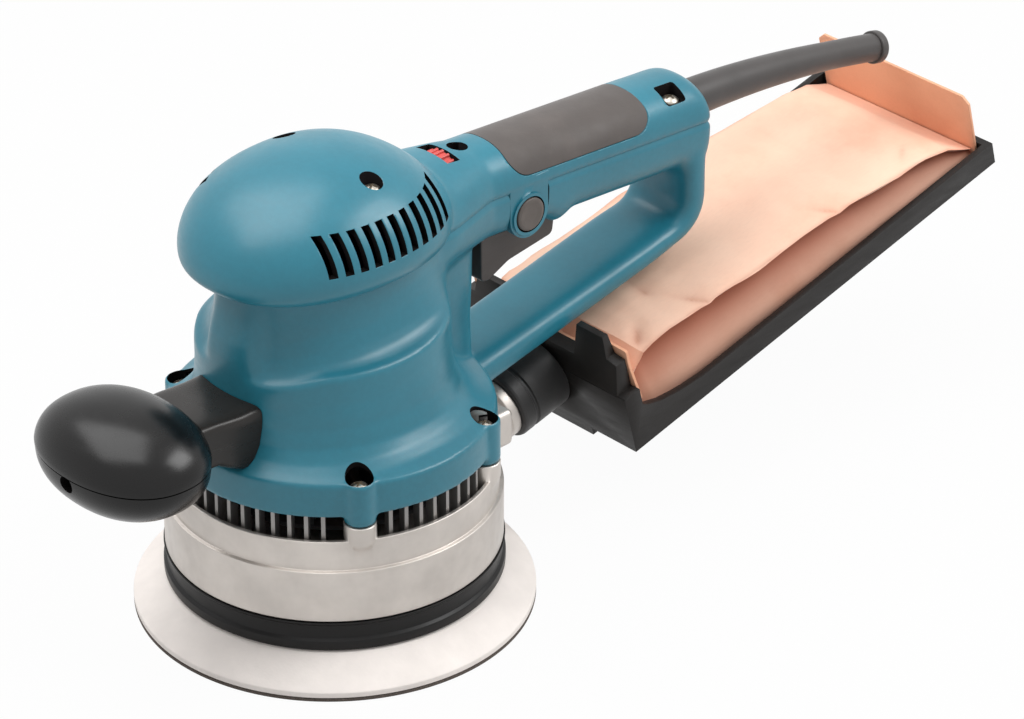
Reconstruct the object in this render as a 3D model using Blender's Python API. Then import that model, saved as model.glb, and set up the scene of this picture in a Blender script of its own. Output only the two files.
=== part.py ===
"""Random-orbit sander with a domed palm grip, a loop handle behind it, a ball grip in front
and a push-on dust holder. Metres, +Z up. The motor turns about the Z axis, the front grip
points along -Y and the handle along +Y. The origin is on the motor axis, in the plane of the
abrasive face. The sections below go from the work surface up, then front and back.
"""

import math

import bmesh
import bpy
from mathutils import Matrix, Vector

# ---------------------------------------------------------------- fits and walls
GAP = 0.0003                 # between faces that touch
RUNNING_GAP = 0.0012         # between faces that pass each other
SHELL = 0.0028               # moulded housing wall
ROUND = 40                   # sides of a large turned piece
HIDDEN_ROUND = 20            # sides of a hollow or of a piece inside the housing
SMALL_ROUND = 16             # sides of a pin, bush or nozzle
SCREW_ROUND = 10             # sides of a screw and of its hole

# ---------------------------------------------------------------- pad and orbit
PAD_RADIUS = 0.075
DISC_THICKNESS = 0.0012
PAD_RIM_HEIGHT = 0.0022
PAD_HEIGHT = 0.0107
PAD_CROWN_RADIUS = 0.060
DUST_HOLE_RADIUS = 0.005
DUST_HOLE_CIRCLE = 0.040
DUST_HOLE_COUNT = 6
ORBIT_RADIUS = 0.00275       # half of the 5.5 mm orbit
ORBIT_TURN = math.radians(-45)
PAD_BOLT_RADIUS = 0.0035
SPINDLE_FLANGE = 0.0180
SPINDLE_RIM = 0.0030
SPINDLE_NECK = 0.0095

# ---------------------------------------------------------------- skirt and fan housing
SKIRT_RADIUS = 0.063
RING_HEIGHT = 0.0118
RING_WALL = 0.0062
RING_GROOVE = 0.0012
SKIRT_HEIGHT = 0.0212        # ring to the turned step
BAND_HEIGHT = 0.0120         # step to rim
STEP_DEPTH = 0.0015
SKIRT_WALL = 0.0050
DECK_THICKNESS = 0.0030
VENT_HEIGHT = 0.0098
TOOTH_DEPTH = 0.0040
TOOTH_WIDTH = 0.0030
TOOTH_PITCH = math.radians(9.0)
BLOCK_HALF_WIDTH = 0.028
BLOCK_REACH = 0.0655
BLOCK_HEIGHT = 0.0155
DUST_TILT = math.radians(14.1)
NOZZLE_RADIUS = 0.0110
NOZZLE_BORE = 0.0085
NOZZLE_COLLAR = 0.0125
NOZZLE_COLLAR_LENGTH = 0.0040
NOZZLE_END_Y = 0.084
NOZZLE_END_Z = 0.043
SPIGOT_RADIUS = 0.0100
SPIGOT_LENGTH = 0.0160

# ---------------------------------------------------------------- screws of the base
BOSS_X = 0.049
BOSS_Y = 0.0305
BOSS_RADIUS = 0.0060
BOSS_DROP = 0.0035
BASE_SCREW_RADIUS = 0.0020
BASE_SCREW_LENGTH = 0.0200
SCREW_HEAD_RADIUS = 0.0036
SCREW_HEAD_HEIGHT = 0.0024

# ---------------------------------------------------------------- motor housing
FLANGE_RADIUS = 0.061
FLANGE_HEIGHT = 0.0130
SHOULDER_HEIGHT = 0.0160
BARREL_HEIGHT = 0.0340       # flange to the crease round the neck
NECK_HEIGHT = 0.0310         # crease to the seam
BARREL_HALF_WIDTH = 0.0433
BARREL_FRONT = 0.0500
BARREL_REAR = 0.0420
WAIST_HALF_WIDTH = 0.0345
WAIST_FRONT = 0.0492
WAIST_REAR = 0.0460
CREASE_DEPTH = 0.0014
CREASE_DROP = 0.0022         # how much lower the crease lies at the front
CREASE_CLIMB = 0.0070        # how much it climbs from there to the rear
EGG_POWER = 2.2

# ---------------------------------------------------------------- domed top
DOME_HALF_WIDTH = 0.0435
DOME_FRONT = 0.0523
DOME_REAR = 0.0500
DOME_CENTRE_Y = -0.0050
DOME_HEIGHT = 0.0400         # seam to the crown
DOME_SIDE_RISE = 0.0100      # seam to where the sides are widest
DOME_FRONT_RISE = 0.0055     # seam to where the front is widest
DOME_SCREW_X = 0.0233
DOME_SCREW_Y = 0.0006
DOME_SCREW_SEAT = 0.0270     # above the seam
DOME_SCREW_POCKET = 0.0042
SLOT_COUNT = 11
SLOT_PITCH = 0.0058
SLOT_WIDTH = 0.0032
SLOT_START_Y = -0.0310
SLOT_LOW = 0.0135            # above the seam
SLOT_HIGH = 0.0270

# ---------------------------------------------------------------- loop handle
HANDLE_END = 0.1865
HANDLE_HALF_WIDTH = 0.0175
HANDLE_DEPTH = 0.0195        # seam to underside
HANDLE_RISE = 0.0165         # seam to top
HANDLE_SEAM_FALL = 0.075     # the seam drops this much for each metre towards the rear
HANDLE_LEVEL_TO = 0.062      # up to here the seam is level
HANDLE_WALL = 0.0035
HANDLE_FLOOR = 0.0038
CAVITY_START = 0.0120        # handle's hollow to the barrel's rear
CAVITY_END = 0.0090          # handle's hollow to its end
RIDGE_Y = 0.1020
RIDGE_DEPTH = 0.0036
BAR_HALF_WIDTH = 0.0155
BAR_FRONT_Y = 0.040
BAR_FRONT_Z = 0.0665
BAR_FRONT_THICKNESS = 0.0135
BAR_REAR_THICKNESS = 0.0088
WEB_END = 0.0620
COLUMN_INSET = 0.0120        # column's middle to the handle's end
COLUMN_THICKNESS = 0.0105
COLUMN_CORNER = 0.0130

# ---------------------------------------------------------------- grip, trigger and knobs
GRIP_START = 0.0760
GRIP_INSET = 0.0385          # grip's rear edge to the handle's end
GRIP_THICKNESS = 0.0020
GRIP_LOW = 0.0050            # lower edge above the seam
TRIGGER_START = 0.0650
TRIGGER_LENGTH = 0.0355
TRIGGER_HALF_WIDTH = 0.0110
TRIGGER_FRONT_DEPTH = 0.0140
TRIGGER_REAR_DEPTH = 0.0065
TRIGGER_TRAVEL = 0.0035
LOCK_Y = 0.0836
LOCK_DROP = 0.0108           # button centre below the seam
LOCK_RADIUS = 0.0066
LOCK_PROUD = 0.0010
LOCK_LIP = 0.0018            # raised ring round the button
LOBE_RADIUS = 0.0096         # of the cover's lobe that hangs round the button
LOCK_TRAVEL = 0.0020
DIAL_Y = 0.0540
DIAL_RADIUS = 0.0100
DIAL_WIDTH = 0.0050
DIAL_RIBS = 20
DIAL_SLOT_HALF = 0.0085
HANDLE_SCREW_FRONT_Y = 0.0635
HANDLE_SCREW_INSET = 0.0225  # rear screw to the handle's end
HANDLE_SCREW_REAR_X = 0.0095
HANDLE_SCREW_SEAT = 0.0080    # above the seam
HANDLE_SCREW_POCKET = 0.0040

# ---------------------------------------------------------------- front grip
ARM_HALF_WIDTH = 0.0175
ARM_LOW = 0.0800
ARM_HIGH = 0.1050
KNOB_Y = -0.0980
KNOB_Z = 0.0990
KNOB_HALF_WIDTH = 0.0358
KNOB_HALF_LENGTH = 0.0264
KNOB_HALF_HEIGHT = 0.0198
KNOB_BOLT_RADIUS = 0.0030

# ---------------------------------------------------------------- cord guard
GUARD_BASE_RADIUS = 0.0078
GUARD_TIP_RADIUS = 0.0056
GUARD_FLANGE_RADIUS = 0.0066
GUARD_BORE = 0.0037
GUARD_COLLAR_RADIUS = 0.0105
GUARD_LENGTH = 0.1105
GUARD_DROP = 0.0150

# ---------------------------------------------------------------- dust holder
TRAY_FRONT_Y = 0.1120
TRAY_FRONT_Z = 0.0308
TRAY_LENGTH = 0.2060
TRAY_HALF_WIDTH = 0.0460
TRAY_WALL = 0.0030
TRAY_FLOOR = 0.0025
TRAY_SIDE_HIGH = 0.0200
TRAY_SIDE_LOW = 0.0100
TRAY_SLOPE_START = 0.0180     # where the side walls start to step down
TRAY_SLOPE_END = 0.0340
TRAY_HORN_HEIGHT = 0.0478
TRAY_HORN_OUTER = 0.0340
TRAY_HORN_INNER = 0.0200
TRAY_SHOULDER_HEIGHT = 0.0385
SLEEVE_RADIUS = 0.0145
SLEEVE_HEIGHT = 0.0180       # axis above the tray's underside
CARD_THICKNESS = 0.0016
CARD_HALF_WIDTH = 0.0425
CARD_HEIGHT = 0.0435
BAG_HALF_WIDTH = 0.0390
BAG_FOLD_FRONT = 0.0330       # height of its side folds at the card
BAG_FOLD_REAR = 0.0170        # and at the flap
BAG_CROWN = 0.0022            # rise of its top between the folds
FLAP_HALF_WIDTH = 0.0405
FLAP_HEIGHT = 0.0325

# ---------------------------------------------------------------- motor
SHAFT_RADIUS = 0.0050
LOWER_BEARING_RADIUS = 0.0130
LOWER_BEARING_WIDTH = 0.0080
UPPER_BEARING_RADIUS = 0.0110
UPPER_BEARING_WIDTH = 0.0070
PAD_BEARING_RADIUS = 0.0160
PAD_BEARING_BORE = 0.0075
PAD_BEARING_WIDTH = 0.0090
ECCENTRIC_RADIUS = 0.0240
ECCENTRIC_HEIGHT = 0.0140
ROTOR_RADIUS = 0.0200
ROTOR_LENGTH = 0.0340
ROTOR_SLOTS = 12
STATOR_RADIUS = 0.0375
AIR_GAP = 0.0008
COOLING_FAN_RADIUS = 0.0460
COOLING_FAN_HEIGHT = 0.0100
COOLING_FAN_BLADES = 14
DUST_FAN_RADIUS = 0.0530
DUST_FAN_HEIGHT = 0.0090
DUST_FAN_BLADES = 8
DUST_FAN_CLEARANCE = 0.0030  # to the deck above it
FAN_PLATE = 0.0016
FAN_HUB_WALL = 0.0040
FAN_BLADE = 0.0015
FAN_EYE = 0.0060             # hub to where the blades start
WINDING_HEIGHT = 0.0060
BALANCE_CUT = 0.0020
COMMUTATOR_RADIUS = 0.0130
COMMUTATOR_LENGTH = 0.0120
COMMUTATOR_BARS = 20
BRUSH_WIDTH = 0.0060
BRUSH_HOLDER_LENGTH = 0.0150

# ---------------------------------------------------------------- places and levels, worked out
COLUMN_Y = HANDLE_END - COLUMN_INSET
HANDLE_SCREW_REAR_Y = HANDLE_END - HANDLE_SCREW_INSET
GRIP_END = HANDLE_END - GRIP_INSET
PAD_BASE_Z = DISC_THICKNESS + GAP
PAD_TOP_Z = PAD_BASE_Z + PAD_HEIGHT
RING_Z = PAD_TOP_Z + 0.0005
SKIRT_Z = RING_Z + RING_HEIGHT
STEP_Z = SKIRT_Z + SKIRT_HEIGHT
RIM_Z = STEP_Z + BAND_HEIGHT
FLANGE_Z = RIM_Z + VENT_HEIGHT
CREASE_LOW_Z = FLANGE_Z + FLANGE_HEIGHT
NECK_Z = CREASE_LOW_Z + BARREL_HEIGHT
SEAM_Z = NECK_Z + NECK_HEIGHT
DECK_Z = STEP_Z - DECK_THICKNESS
ECCENTRIC_Z = PAD_TOP_Z + 0.0090
PAD_BEARING_Z = ECCENTRIC_Z + 0.0010
LOWER_BEARING_Z = DECK_Z
ROTOR_Z = FLANGE_Z + 0.0120
COMMUTATOR_Z = ROTOR_Z + ROTOR_LENGTH + 0.0069
UPPER_BEARING_Z = COMMUTATOR_Z + COMMUTATOR_LENGTH + 0.0038
TRIGGER_TOP_Z = SEAM_Z - HANDLE_DEPTH + HANDLE_FLOOR
DIAL_Z = SEAM_Z + HANDLE_RISE - DIAL_RADIUS + 0.0012
ORBIT = Vector((math.cos(ORBIT_TURN), math.sin(ORBIT_TURN), 0)) * ORBIT_RADIUS


# ================================================================ making shapes
def clear_scene():
    for item in list(bpy.data.objects):
        bpy.data.objects.remove(item, do_unlink=True)


def material(name, colour, roughness, metallic=0.0):
    """A Principled finish, made once for each name."""
    found = bpy.data.materials.get(name)
    if found:
        return found
    made = bpy.data.materials.new(name)
    made.use_nodes = True
    shader = made.node_tree.nodes["Principled BSDF"]
    shader.inputs["Base Color"].default_value = (*colour, 1)
    shader.inputs["Roughness"].default_value = roughness
    shader.inputs["Metallic"].default_value = metallic
    return made


FINISHES = {
    "teal_plastic": ((0.030, 0.190, 0.270), 0.42, 0.0),
    "grip_rubber": ((0.070, 0.058, 0.053), 0.75, 0.0),
    "knob_plastic": ((0.014, 0.013, 0.013), 0.22, 0.0),
    "arm_plastic": ((0.016, 0.015, 0.015), 0.35, 0.0),
    "trigger_plastic": ((0.034, 0.030, 0.029), 0.50, 0.0),
    "button_plastic": ((0.095, 0.085, 0.078), 0.55, 0.0),
    "dial_plastic": ((0.700, 0.080, 0.070), 0.40, 0.0),
    "guard_rubber": ((0.025, 0.023, 0.022), 0.60, 0.0),
    "ring_plastic": ((0.016, 0.015, 0.015), 0.40, 0.0),
    "holder_plastic": ((0.028, 0.026, 0.025), 0.45, 0.0),
    "sleeve_rubber": ((0.022, 0.020, 0.020), 0.60, 0.0),
    "switch_plastic": ((0.050, 0.050, 0.052), 0.50, 0.0),
    "cast_aluminium": ((0.560, 0.520, 0.480), 0.38, 0.9),
    "steel": ((0.500, 0.490, 0.470), 0.35, 1.0),
    "screw_steel": ((0.560, 0.540, 0.500), 0.30, 1.0),
    "core_steel": ((0.330, 0.320, 0.310), 0.45, 1.0),
    "copper": ((0.720, 0.330, 0.150), 0.35, 1.0),
    "brass": ((0.700, 0.520, 0.220), 0.30, 1.0),
    "carbon": ((0.040, 0.040, 0.042), 0.65, 0.0),
    "pad_foam": ((0.860, 0.790, 0.740), 0.80, 0.0),
    "abrasive": ((0.160, 0.100, 0.080), 0.95, 0.0),
    "bag_card": ((0.780, 0.470, 0.320), 0.80, 0.0),
    "bag_paper": ((0.840, 0.520, 0.380), 0.85, 0.0),
}


def mesh_object(name, shape, finish):
    """Turns a bmesh into a named object with outward faces and smooth rounds."""
    bmesh.ops.remove_doubles(shape, verts=shape.verts, dist=1e-6)
    bmesh.ops.recalc_face_normals(shape, faces=shape.faces)
    mesh = bpy.data.meshes.new(name)
    shape.to_mesh(mesh)
    shape.free()
    mesh.shade_smooth()
    mesh.set_sharp_from_angle(angle=math.radians(35))
    made = bpy.data.objects.new(name, mesh)
    bpy.context.scene.collection.objects.link(made)
    made.data.materials.append(material(finish, *FINISHES[finish]))
    return made


def skin(sections, closed_ends=True):
    """A bmesh through sections with equal point counts, capped at both ends."""
    shape = bmesh.new()
    rings = [[shape.verts.new(point) for point in section] for section in sections]
    for low, high in zip(rings, rings[1:]):
        for i, vert in enumerate(low):
            after = (i + 1) % len(low)
            shape.faces.new((vert, low[after], high[after], high[i]))
    if closed_ends:
        shape.faces.new(reversed(rings[0]))
        shape.faces.new(rings[-1])
    return shape


def turned(profile, sides=ROUND, axis=Vector((0, 0, 0))):
    """Spins a closed outline of (radius, height) points about a vertical axis."""
    shape = bmesh.new()
    columns = []
    for radius, height in profile:
        if radius < 1e-7:
            columns.append([shape.verts.new(axis + Vector((0, 0, height)))])
            continue
        angles = (2 * math.pi * i / sides for i in range(sides))
        columns.append([
            shape.verts.new(axis + Vector((radius * math.cos(a), radius * math.sin(a), height)))
            for a in angles
        ])
    for here, there in zip(columns, columns[1:] + columns[:1]):
        for i in range(sides):
            after = (i + 1) % sides
            corners = [here[i % len(here)], here[after % len(here)],
                       there[after % len(there)], there[i % len(there)]]
            corners = list(dict.fromkeys(corners))
            if len(corners) > 2:
                shape.faces.new(corners)
    return shape


def tube(outer, inner, low, high, sides=SMALL_ROUND, axis=Vector((0, 0, 0))):
    """A plain ring, or a rod where the inner radius is zero."""
    if inner:
        return turned([(outer, low), (outer, high), (inner, high), (inner, low)], sides, axis)
    return turned([(0, low), (outer, low), (outer, high), (0, high)], sides, axis)


def block(low, high):
    """A box between two corners."""
    shape = bmesh.new()
    bmesh.ops.create_cube(shape, size=1)
    low = Vector(low)
    high = Vector(high)
    for vert in shape.verts:
        vert.co = Vector(a + (b - a) * (c + 0.5) for a, b, c in zip(low, high, vert.co))
    return shape


def extruded(outline, depth, frame):
    """Pushes a flat outline of (u, v) points to -depth/2 and +depth/2 along w, placed by frame."""
    sections = [
        [frame @ Vector((u, v, w)) for u, v in outline] for w in (-depth / 2, depth / 2)
    ]
    return skin(sections)


def moved(shape, matrix):
    bmesh.ops.transform(shape, matrix=matrix, verts=shape.verts)
    return shape


def merged(shapes):
    """Several bmeshes in one, as a cutter with separate bodies."""
    whole = bmesh.new()
    for shape in shapes:
        part = bpy.data.meshes.new("part")
        bmesh.ops.recalc_face_normals(shape, faces=shape.faces)
        shape.to_mesh(part)
        shape.free()
        whole.from_mesh(part)
        bpy.data.meshes.remove(part)
    return whole


def helper(name, shape):
    """A cutter or an addition: drawn as wire, left out of renders."""
    made = mesh_object(name, shape, "steel")
    made.hide_render = True
    made.display_type = "WIRE"
    return made


def boolean(target, operation, shape):
    """Cuts or joins a shape, which stays beside its target as a wire helper."""
    count = len(target.modifiers)
    tool = helper(f"{target.name}.{operation.lower()}.{count}", shape)
    step = target.modifiers.new(f"{operation.lower()} {count}", "BOOLEAN")
    step.operation = operation
    step.object = tool
    step.solver = "EXACT"
    return target


def cut(target, shape):
    return boolean(target, "DIFFERENCE", shape)


def join(target, shape):
    return boolean(target, "UNION", shape)


def keep(target, shape):
    return boolean(target, "INTERSECT", shape)


def oval(half_width, front, rear, power, height, centre_y=0.0, count=ROUND):
    """A level egg: x is symmetric, front is towards -Y and rear towards +Y."""
    points = []
    for i in range(count):
        angle = 2 * math.pi * i / count
        across = math.cos(angle)
        along = math.sin(angle)
        reach = rear if along > 0 else front
        x = half_width * math.copysign(abs(across) ** (2 / power), across)
        y = reach * math.copysign(abs(along) ** (2 / power), along)
        points.append(Vector((x, centre_y + y, height)))
    return points


def mix(a, b, share):
    return a + (b - a) * share


# ================================================================ shared forms
def seam_height(y):
    """The parting line of the housing: level round the motor, falling along the handle."""
    return SEAM_Z - HANDLE_SEAM_FALL * max(0.0, y - HANDLE_LEVEL_TO)


def barrel_form(grow=0.0, low=None, high=None, count=ROUND):
    """The motor barrel from its flange to the waist under the dome."""
    flange = FLANGE_RADIUS
    shoulder_z = CREASE_LOW_Z + SHOULDER_HEIGHT
    sections = [
        (FLANGE_Z, flange, flange, flange),
        (CREASE_LOW_Z, flange - 0.0004, flange - 0.0004, flange - 0.0004),
        (CREASE_LOW_Z + SHOULDER_HEIGHT * 0.25, *barrel_blend(0.42)),
        (CREASE_LOW_Z + SHOULDER_HEIGHT * 0.60, *barrel_blend(0.15)),
        (shoulder_z, *barrel_blend(0.05)),
        (NECK_Z - CREASE_DEPTH, *barrel_blend(0.0)),
        (NECK_Z + CREASE_DEPTH, *waist_blend(0.14, CREASE_DEPTH * 0.4)),
        (mix(NECK_Z, SEAM_Z, 0.30), *waist_blend(0.50, 0.0)),
        (mix(NECK_Z, SEAM_Z, 0.62), *waist_blend(0.86, 0.0)),
        (SEAM_Z + 0.002, *waist_blend(1.0, 0.0)),
    ]
    if low is not None:
        sections[0] = (low, *sections[0][1:])
    if high is not None:
        sections[-1] = (high, *sections[-1][1:])
    rings = []
    for i, (height, half, front, rear) in enumerate(sections):
        power = EGG_POWER if i > 2 else 2.0
        ring = oval(half + grow, front + grow, rear + grow, power, height, count=count)
        if abs(height - NECK_Z) < SHOULDER_HEIGHT * 0.6:
            for point in ring:
                share = (point.y + BARREL_FRONT) / (BARREL_FRONT + BARREL_REAR)
                point.z += CREASE_CLIMB * share - CREASE_DROP
        rings.append(ring)
    return skin(rings)


def barrel_blend(share):
    """Plan sizes between the barrel, at 0, and its round flange, at 1."""
    return tuple(
        mix(size, FLANGE_RADIUS, share)
        for size in (BARREL_HALF_WIDTH, BARREL_FRONT, BARREL_REAR)
    )


def waist_blend(share, inset):
    """Plan sizes between the barrel, at 0, and the waist under the dome, at 1."""
    barrel = (BARREL_HALF_WIDTH, BARREL_FRONT, BARREL_REAR)
    waist = (WAIST_HALF_WIDTH, WAIST_FRONT, WAIST_REAR)
    return tuple(mix(a, b, share) - inset for a, b in zip(barrel, waist))


def dome_size(height, widest, size, low_size):
    """Half of the dome's size at a height above the seam, from a half ellipse on each side."""
    if height >= widest:
        share = (height - widest) / (DOME_HEIGHT - widest)
        return size * math.sqrt(max(0.0, 1 - share * share))
    share = 1 - height / widest
    return mix(low_size, size, math.sqrt(1 - share ** 2))


def dome_form(grow=0.0, base=0.0, count=ROUND, steps=8):
    """The domed palm grip, from the seam to its crown."""
    sections = []
    levels = [base, 0.0015, 0.0035, DOME_FRONT_RISE, DOME_SIDE_RISE]
    for i in range(1, steps):
        levels.append(mix(DOME_SIDE_RISE, DOME_HEIGHT, math.sin(math.pi / 2 * i / steps)))
    levels.append(DOME_HEIGHT * 0.999)
    for level in levels:
        above = max(level, 0.0)
        half = dome_size(above, DOME_SIDE_RISE, DOME_HALF_WIDTH, WAIST_HALF_WIDTH)
        low_front = WAIST_FRONT + DOME_CENTRE_Y
        front = dome_size(above, DOME_FRONT_RISE, DOME_FRONT, low_front)
        rear = dome_size(above, DOME_FRONT_RISE, DOME_REAR, DOME_REAR - 0.004)
        shrink = grow * (1 if level < DOME_HEIGHT * 0.97 else 0.2)
        top = grow if level > DOME_HEIGHT * 0.6 else 0.0
        sections.append(oval(
            max(half + shrink, 0.001), max(front + shrink, 0.001), max(rear + shrink, 0.001),
            EGG_POWER, SEAM_Z + level + top, DOME_CENTRE_Y, count))
    return skin(sections)


def handle_station(y):
    """Half-width, rise above and depth below the seam of the handle at y."""
    near = max(0.0, 1 - (y - BAR_FRONT_Y) / 0.026)
    half = HANDLE_HALF_WIDTH + 0.0075 * min(1.0, near)
    rise = HANDLE_RISE + 0.0030 * min(1.0, near)
    depth = HANDLE_DEPTH
    off = abs(y - RIDGE_Y) / 0.008
    if off < 1:
        depth += RIDGE_DEPTH * (0.5 + 0.5 * math.cos(math.pi * off))
    end = (HANDLE_END - y) / 0.010
    if end < 1:
        round_off = math.sqrt(max(0.0, 1 - (1 - max(end, 0.04)) ** 2))
        rise *= mix(0.35, 1.0, round_off)
        half *= mix(0.75, 1.0, round_off)
    return half, rise, depth


def handle_outline(y, inset=0.0, count=24):
    """The handle's section at y: round above the seam, slab-sided below it."""
    half, rise, depth = handle_station(y)
    seam = seam_height(y)
    points = []
    for i in range(count):
        angle = 2 * math.pi * (i + 0.5) / count
        across = math.cos(angle)
        up = math.sin(angle)
        power = 2.3 if up > 0 else 3.6
        reach = rise if up > 0 else depth
        x = (half - inset) * math.copysign(abs(across) ** (2 / power), across)
        z = (reach - inset) * math.copysign(abs(up) ** (2 / power), up)
        points.append(Vector((x, y, seam + z)))
    return points


HANDLE_STATIONS = (
    BAR_FRONT_Y - 0.016, BAR_FRONT_Y, 0.052, 0.064, 0.078, RIDGE_Y - 0.008, RIDGE_Y - 0.004,
    RIDGE_Y, RIDGE_Y + 0.004, RIDGE_Y + 0.008, HANDLE_END - 0.0565, GRIP_END + 0.002,
    HANDLE_SCREW_REAR_Y + 0.002, HANDLE_END - 0.010, HANDLE_END - 0.006, HANDLE_END - 0.003,
    HANDLE_END - 0.001, HANDLE_END,
)


def handle_form(inset=0.0, start=None, end=None):
    stations = [
        y for y in HANDLE_STATIONS
        if (start is None or y > start) and (end is None or y < end)
    ]
    if start is not None:
        stations.insert(0, start)
    if end is not None:
        stations.append(end)
    return skin([handle_outline(y, inset) for y in stations])


def loop_path():
    """Centre points, directions and thicknesses of the bar under the handle and its column."""
    slope = math.tan(DUST_TILT)
    stations = []
    low_end = COLUMN_Y - COLUMN_CORNER - 0.003
    for i in range(7):
        y = mix(BAR_FRONT_Y - 0.004, low_end, i / 6)
        z = BAR_FRONT_Z + (y - BAR_FRONT_Y) * slope * 0.86
        thickness = mix(BAR_FRONT_THICKNESS, BAR_REAR_THICKNESS, i / 6)
        stations.append((Vector((0, y, z)), math.atan(slope * 0.86), thickness))
    start, tilt, thickness = stations[-1]
    turn = math.radians(86) - tilt
    centre = start + Vector((0, -math.sin(tilt), math.cos(tilt))) * COLUMN_CORNER
    for i in range(1, 7):
        angle = tilt + turn * i / 6
        point = centre + Vector((0, math.sin(angle), -math.cos(angle))) * COLUMN_CORNER
        stations.append((point, angle, mix(thickness, COLUMN_THICKNESS, i / 6)))
    corner, angle, thickness = stations[-1]
    top = seam_height(COLUMN_Y) - HANDLE_DEPTH * 0.6
    for i in range(1, 4):
        height = mix(corner.z, top, i / 3)
        y = corner.y + (height - corner.z) / math.tan(angle)
        stations.append((Vector((0, y, height)), angle, thickness))
    return stations


def loop_form(count=20):
    """The bar and column, one bent member with a rounded flat section."""
    sections = []
    for centre, angle, thickness in loop_path():
        outward = Vector((0, math.sin(angle), -math.cos(angle)))
        ring = []
        for i in range(count):
            turn = 2 * math.pi * i / count
            across = math.cos(turn)
            out = math.sin(turn)
            x = BAR_HALF_WIDTH * math.copysign(abs(across) ** (2 / 3.4), across)
            reach = thickness / 2 * math.copysign(abs(out) ** (2 / 3.0), out)
            ring.append(centre + Vector((x, 0, 0)) + outward * reach)
        sections.append(ring)
    return skin(sections)


def web_form(grow=0.0):
    """The narrow spine behind the barrel that the bar and the handle spring from."""
    centre_y = BARREL_REAR - 0.010
    rear = WEB_END - centre_y
    low = BAR_FRONT_Z - BAR_FRONT_THICKNESS * 0.3
    high = SEAM_Z + 0.002
    return skin([
        oval(half + grow, 0.012, reach + grow, 3.4, height, centre_y, 24)
        for height, half, reach in (
            (low, BAR_HALF_WIDTH, rear + 0.006), (low + 0.012, BAR_HALF_WIDTH, rear + 0.001),
            (mix(low, high, 0.4), BAR_HALF_WIDTH, rear),
            (mix(low, high, 0.6), HANDLE_HALF_WIDTH, rear), (high, HANDLE_HALF_WIDTH, rear + 0.001))
    ])


def boss_places():
    return [Vector((sx * BOSS_X, sy * BOSS_Y, 0)) for sy in (-1, 1) for sx in (-1, 1)]


def below_seam(shift):
    """Everything under the parting surface, moved down by shift."""
    reach = DOME_HALF_WIDTH * 3
    line = [(-0.2, seam_height(-0.2) - shift), (HANDLE_LEVEL_TO, SEAM_Z - shift),
            (0.3, seam_height(0.3) - shift), (0.3, -0.1), (-0.2, -0.1)]
    return extruded(line, reach, Matrix(((0, 0, 1, 0), (1, 0, 0, 0), (0, 1, 0, 0), (0, 0, 0, 1))))


def above_seam(shift):
    """Everything over the parting surface, moved up by shift."""
    reach = DOME_HALF_WIDTH * 3
    line = [(-0.2, seam_height(-0.2) + shift), (HANDLE_LEVEL_TO, SEAM_Z + shift),
            (0.3, seam_height(0.3) + shift), (0.3, 0.4), (-0.2, 0.4)]
    return extruded(line, reach, Matrix(((0, 0, 1, 0), (1, 0, 0, 0), (0, 1, 0, 0), (0, 0, 0, 1))))


# ================================================================ pad
def make_pad():
    holes = [
        ORBIT + Vector((math.cos(a), math.sin(a), 0)) * DUST_HOLE_CIRCLE
        for a in (2 * math.pi * i / DUST_HOLE_COUNT for i in range(DUST_HOLE_COUNT))
    ]

    def hole_cutter():
        return merged([tube(DUST_HOLE_RADIUS, 0, -0.01, PAD_TOP_Z + 0.01, SCREW_ROUND, place)
                       for place in holes])

    disc = mesh_object("abrasive_disc", tube(PAD_RADIUS, 0, 0, DISC_THICKNESS, ROUND, ORBIT),
                       "abrasive")
    cut(disc, hole_cutter())
    rim = PAD_BASE_Z + PAD_RIM_HEIGHT
    recess = PAD_BOLT_RADIUS * 2
    pad = mesh_object("backing_pad", turned([
        (PAD_BOLT_RADIUS + GAP, PAD_BASE_Z + 0.004), (recess, PAD_BASE_Z + 0.004),
        (recess, PAD_BASE_Z), (PAD_RADIUS, PAD_BASE_Z), (PAD_RADIUS, rim),
        (PAD_RADIUS - 0.0015, rim + 0.0010), (PAD_CROWN_RADIUS + 0.002, PAD_TOP_Z - 0.0009),
        (PAD_CROWN_RADIUS, PAD_TOP_Z), (PAD_BOLT_RADIUS + GAP, PAD_TOP_Z),
    ], ROUND, ORBIT), "pad_foam")
    cut(pad, hole_cutter())


def bearing(name, outer, inner, low, width, axis=Vector((0, 0, 0))):
    """A ball bearing: its two races show as rings on either side of a shallow shield."""
    high = low + width
    dip = width * 0.08
    shield_out = mix(inner, outer, 0.72)
    shield_in = mix(inner, outer, 0.28)
    return mesh_object(name, turned([
        (outer, low), (outer, high), (shield_out, high), (shield_out, high - dip),
        (shield_in, high - dip), (shield_in, high), (inner, high), (inner, low),
        (shield_in, low), (shield_in, low + dip), (shield_out, low + dip), (shield_out, low),
    ], SMALL_ROUND, axis), "steel")



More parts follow.
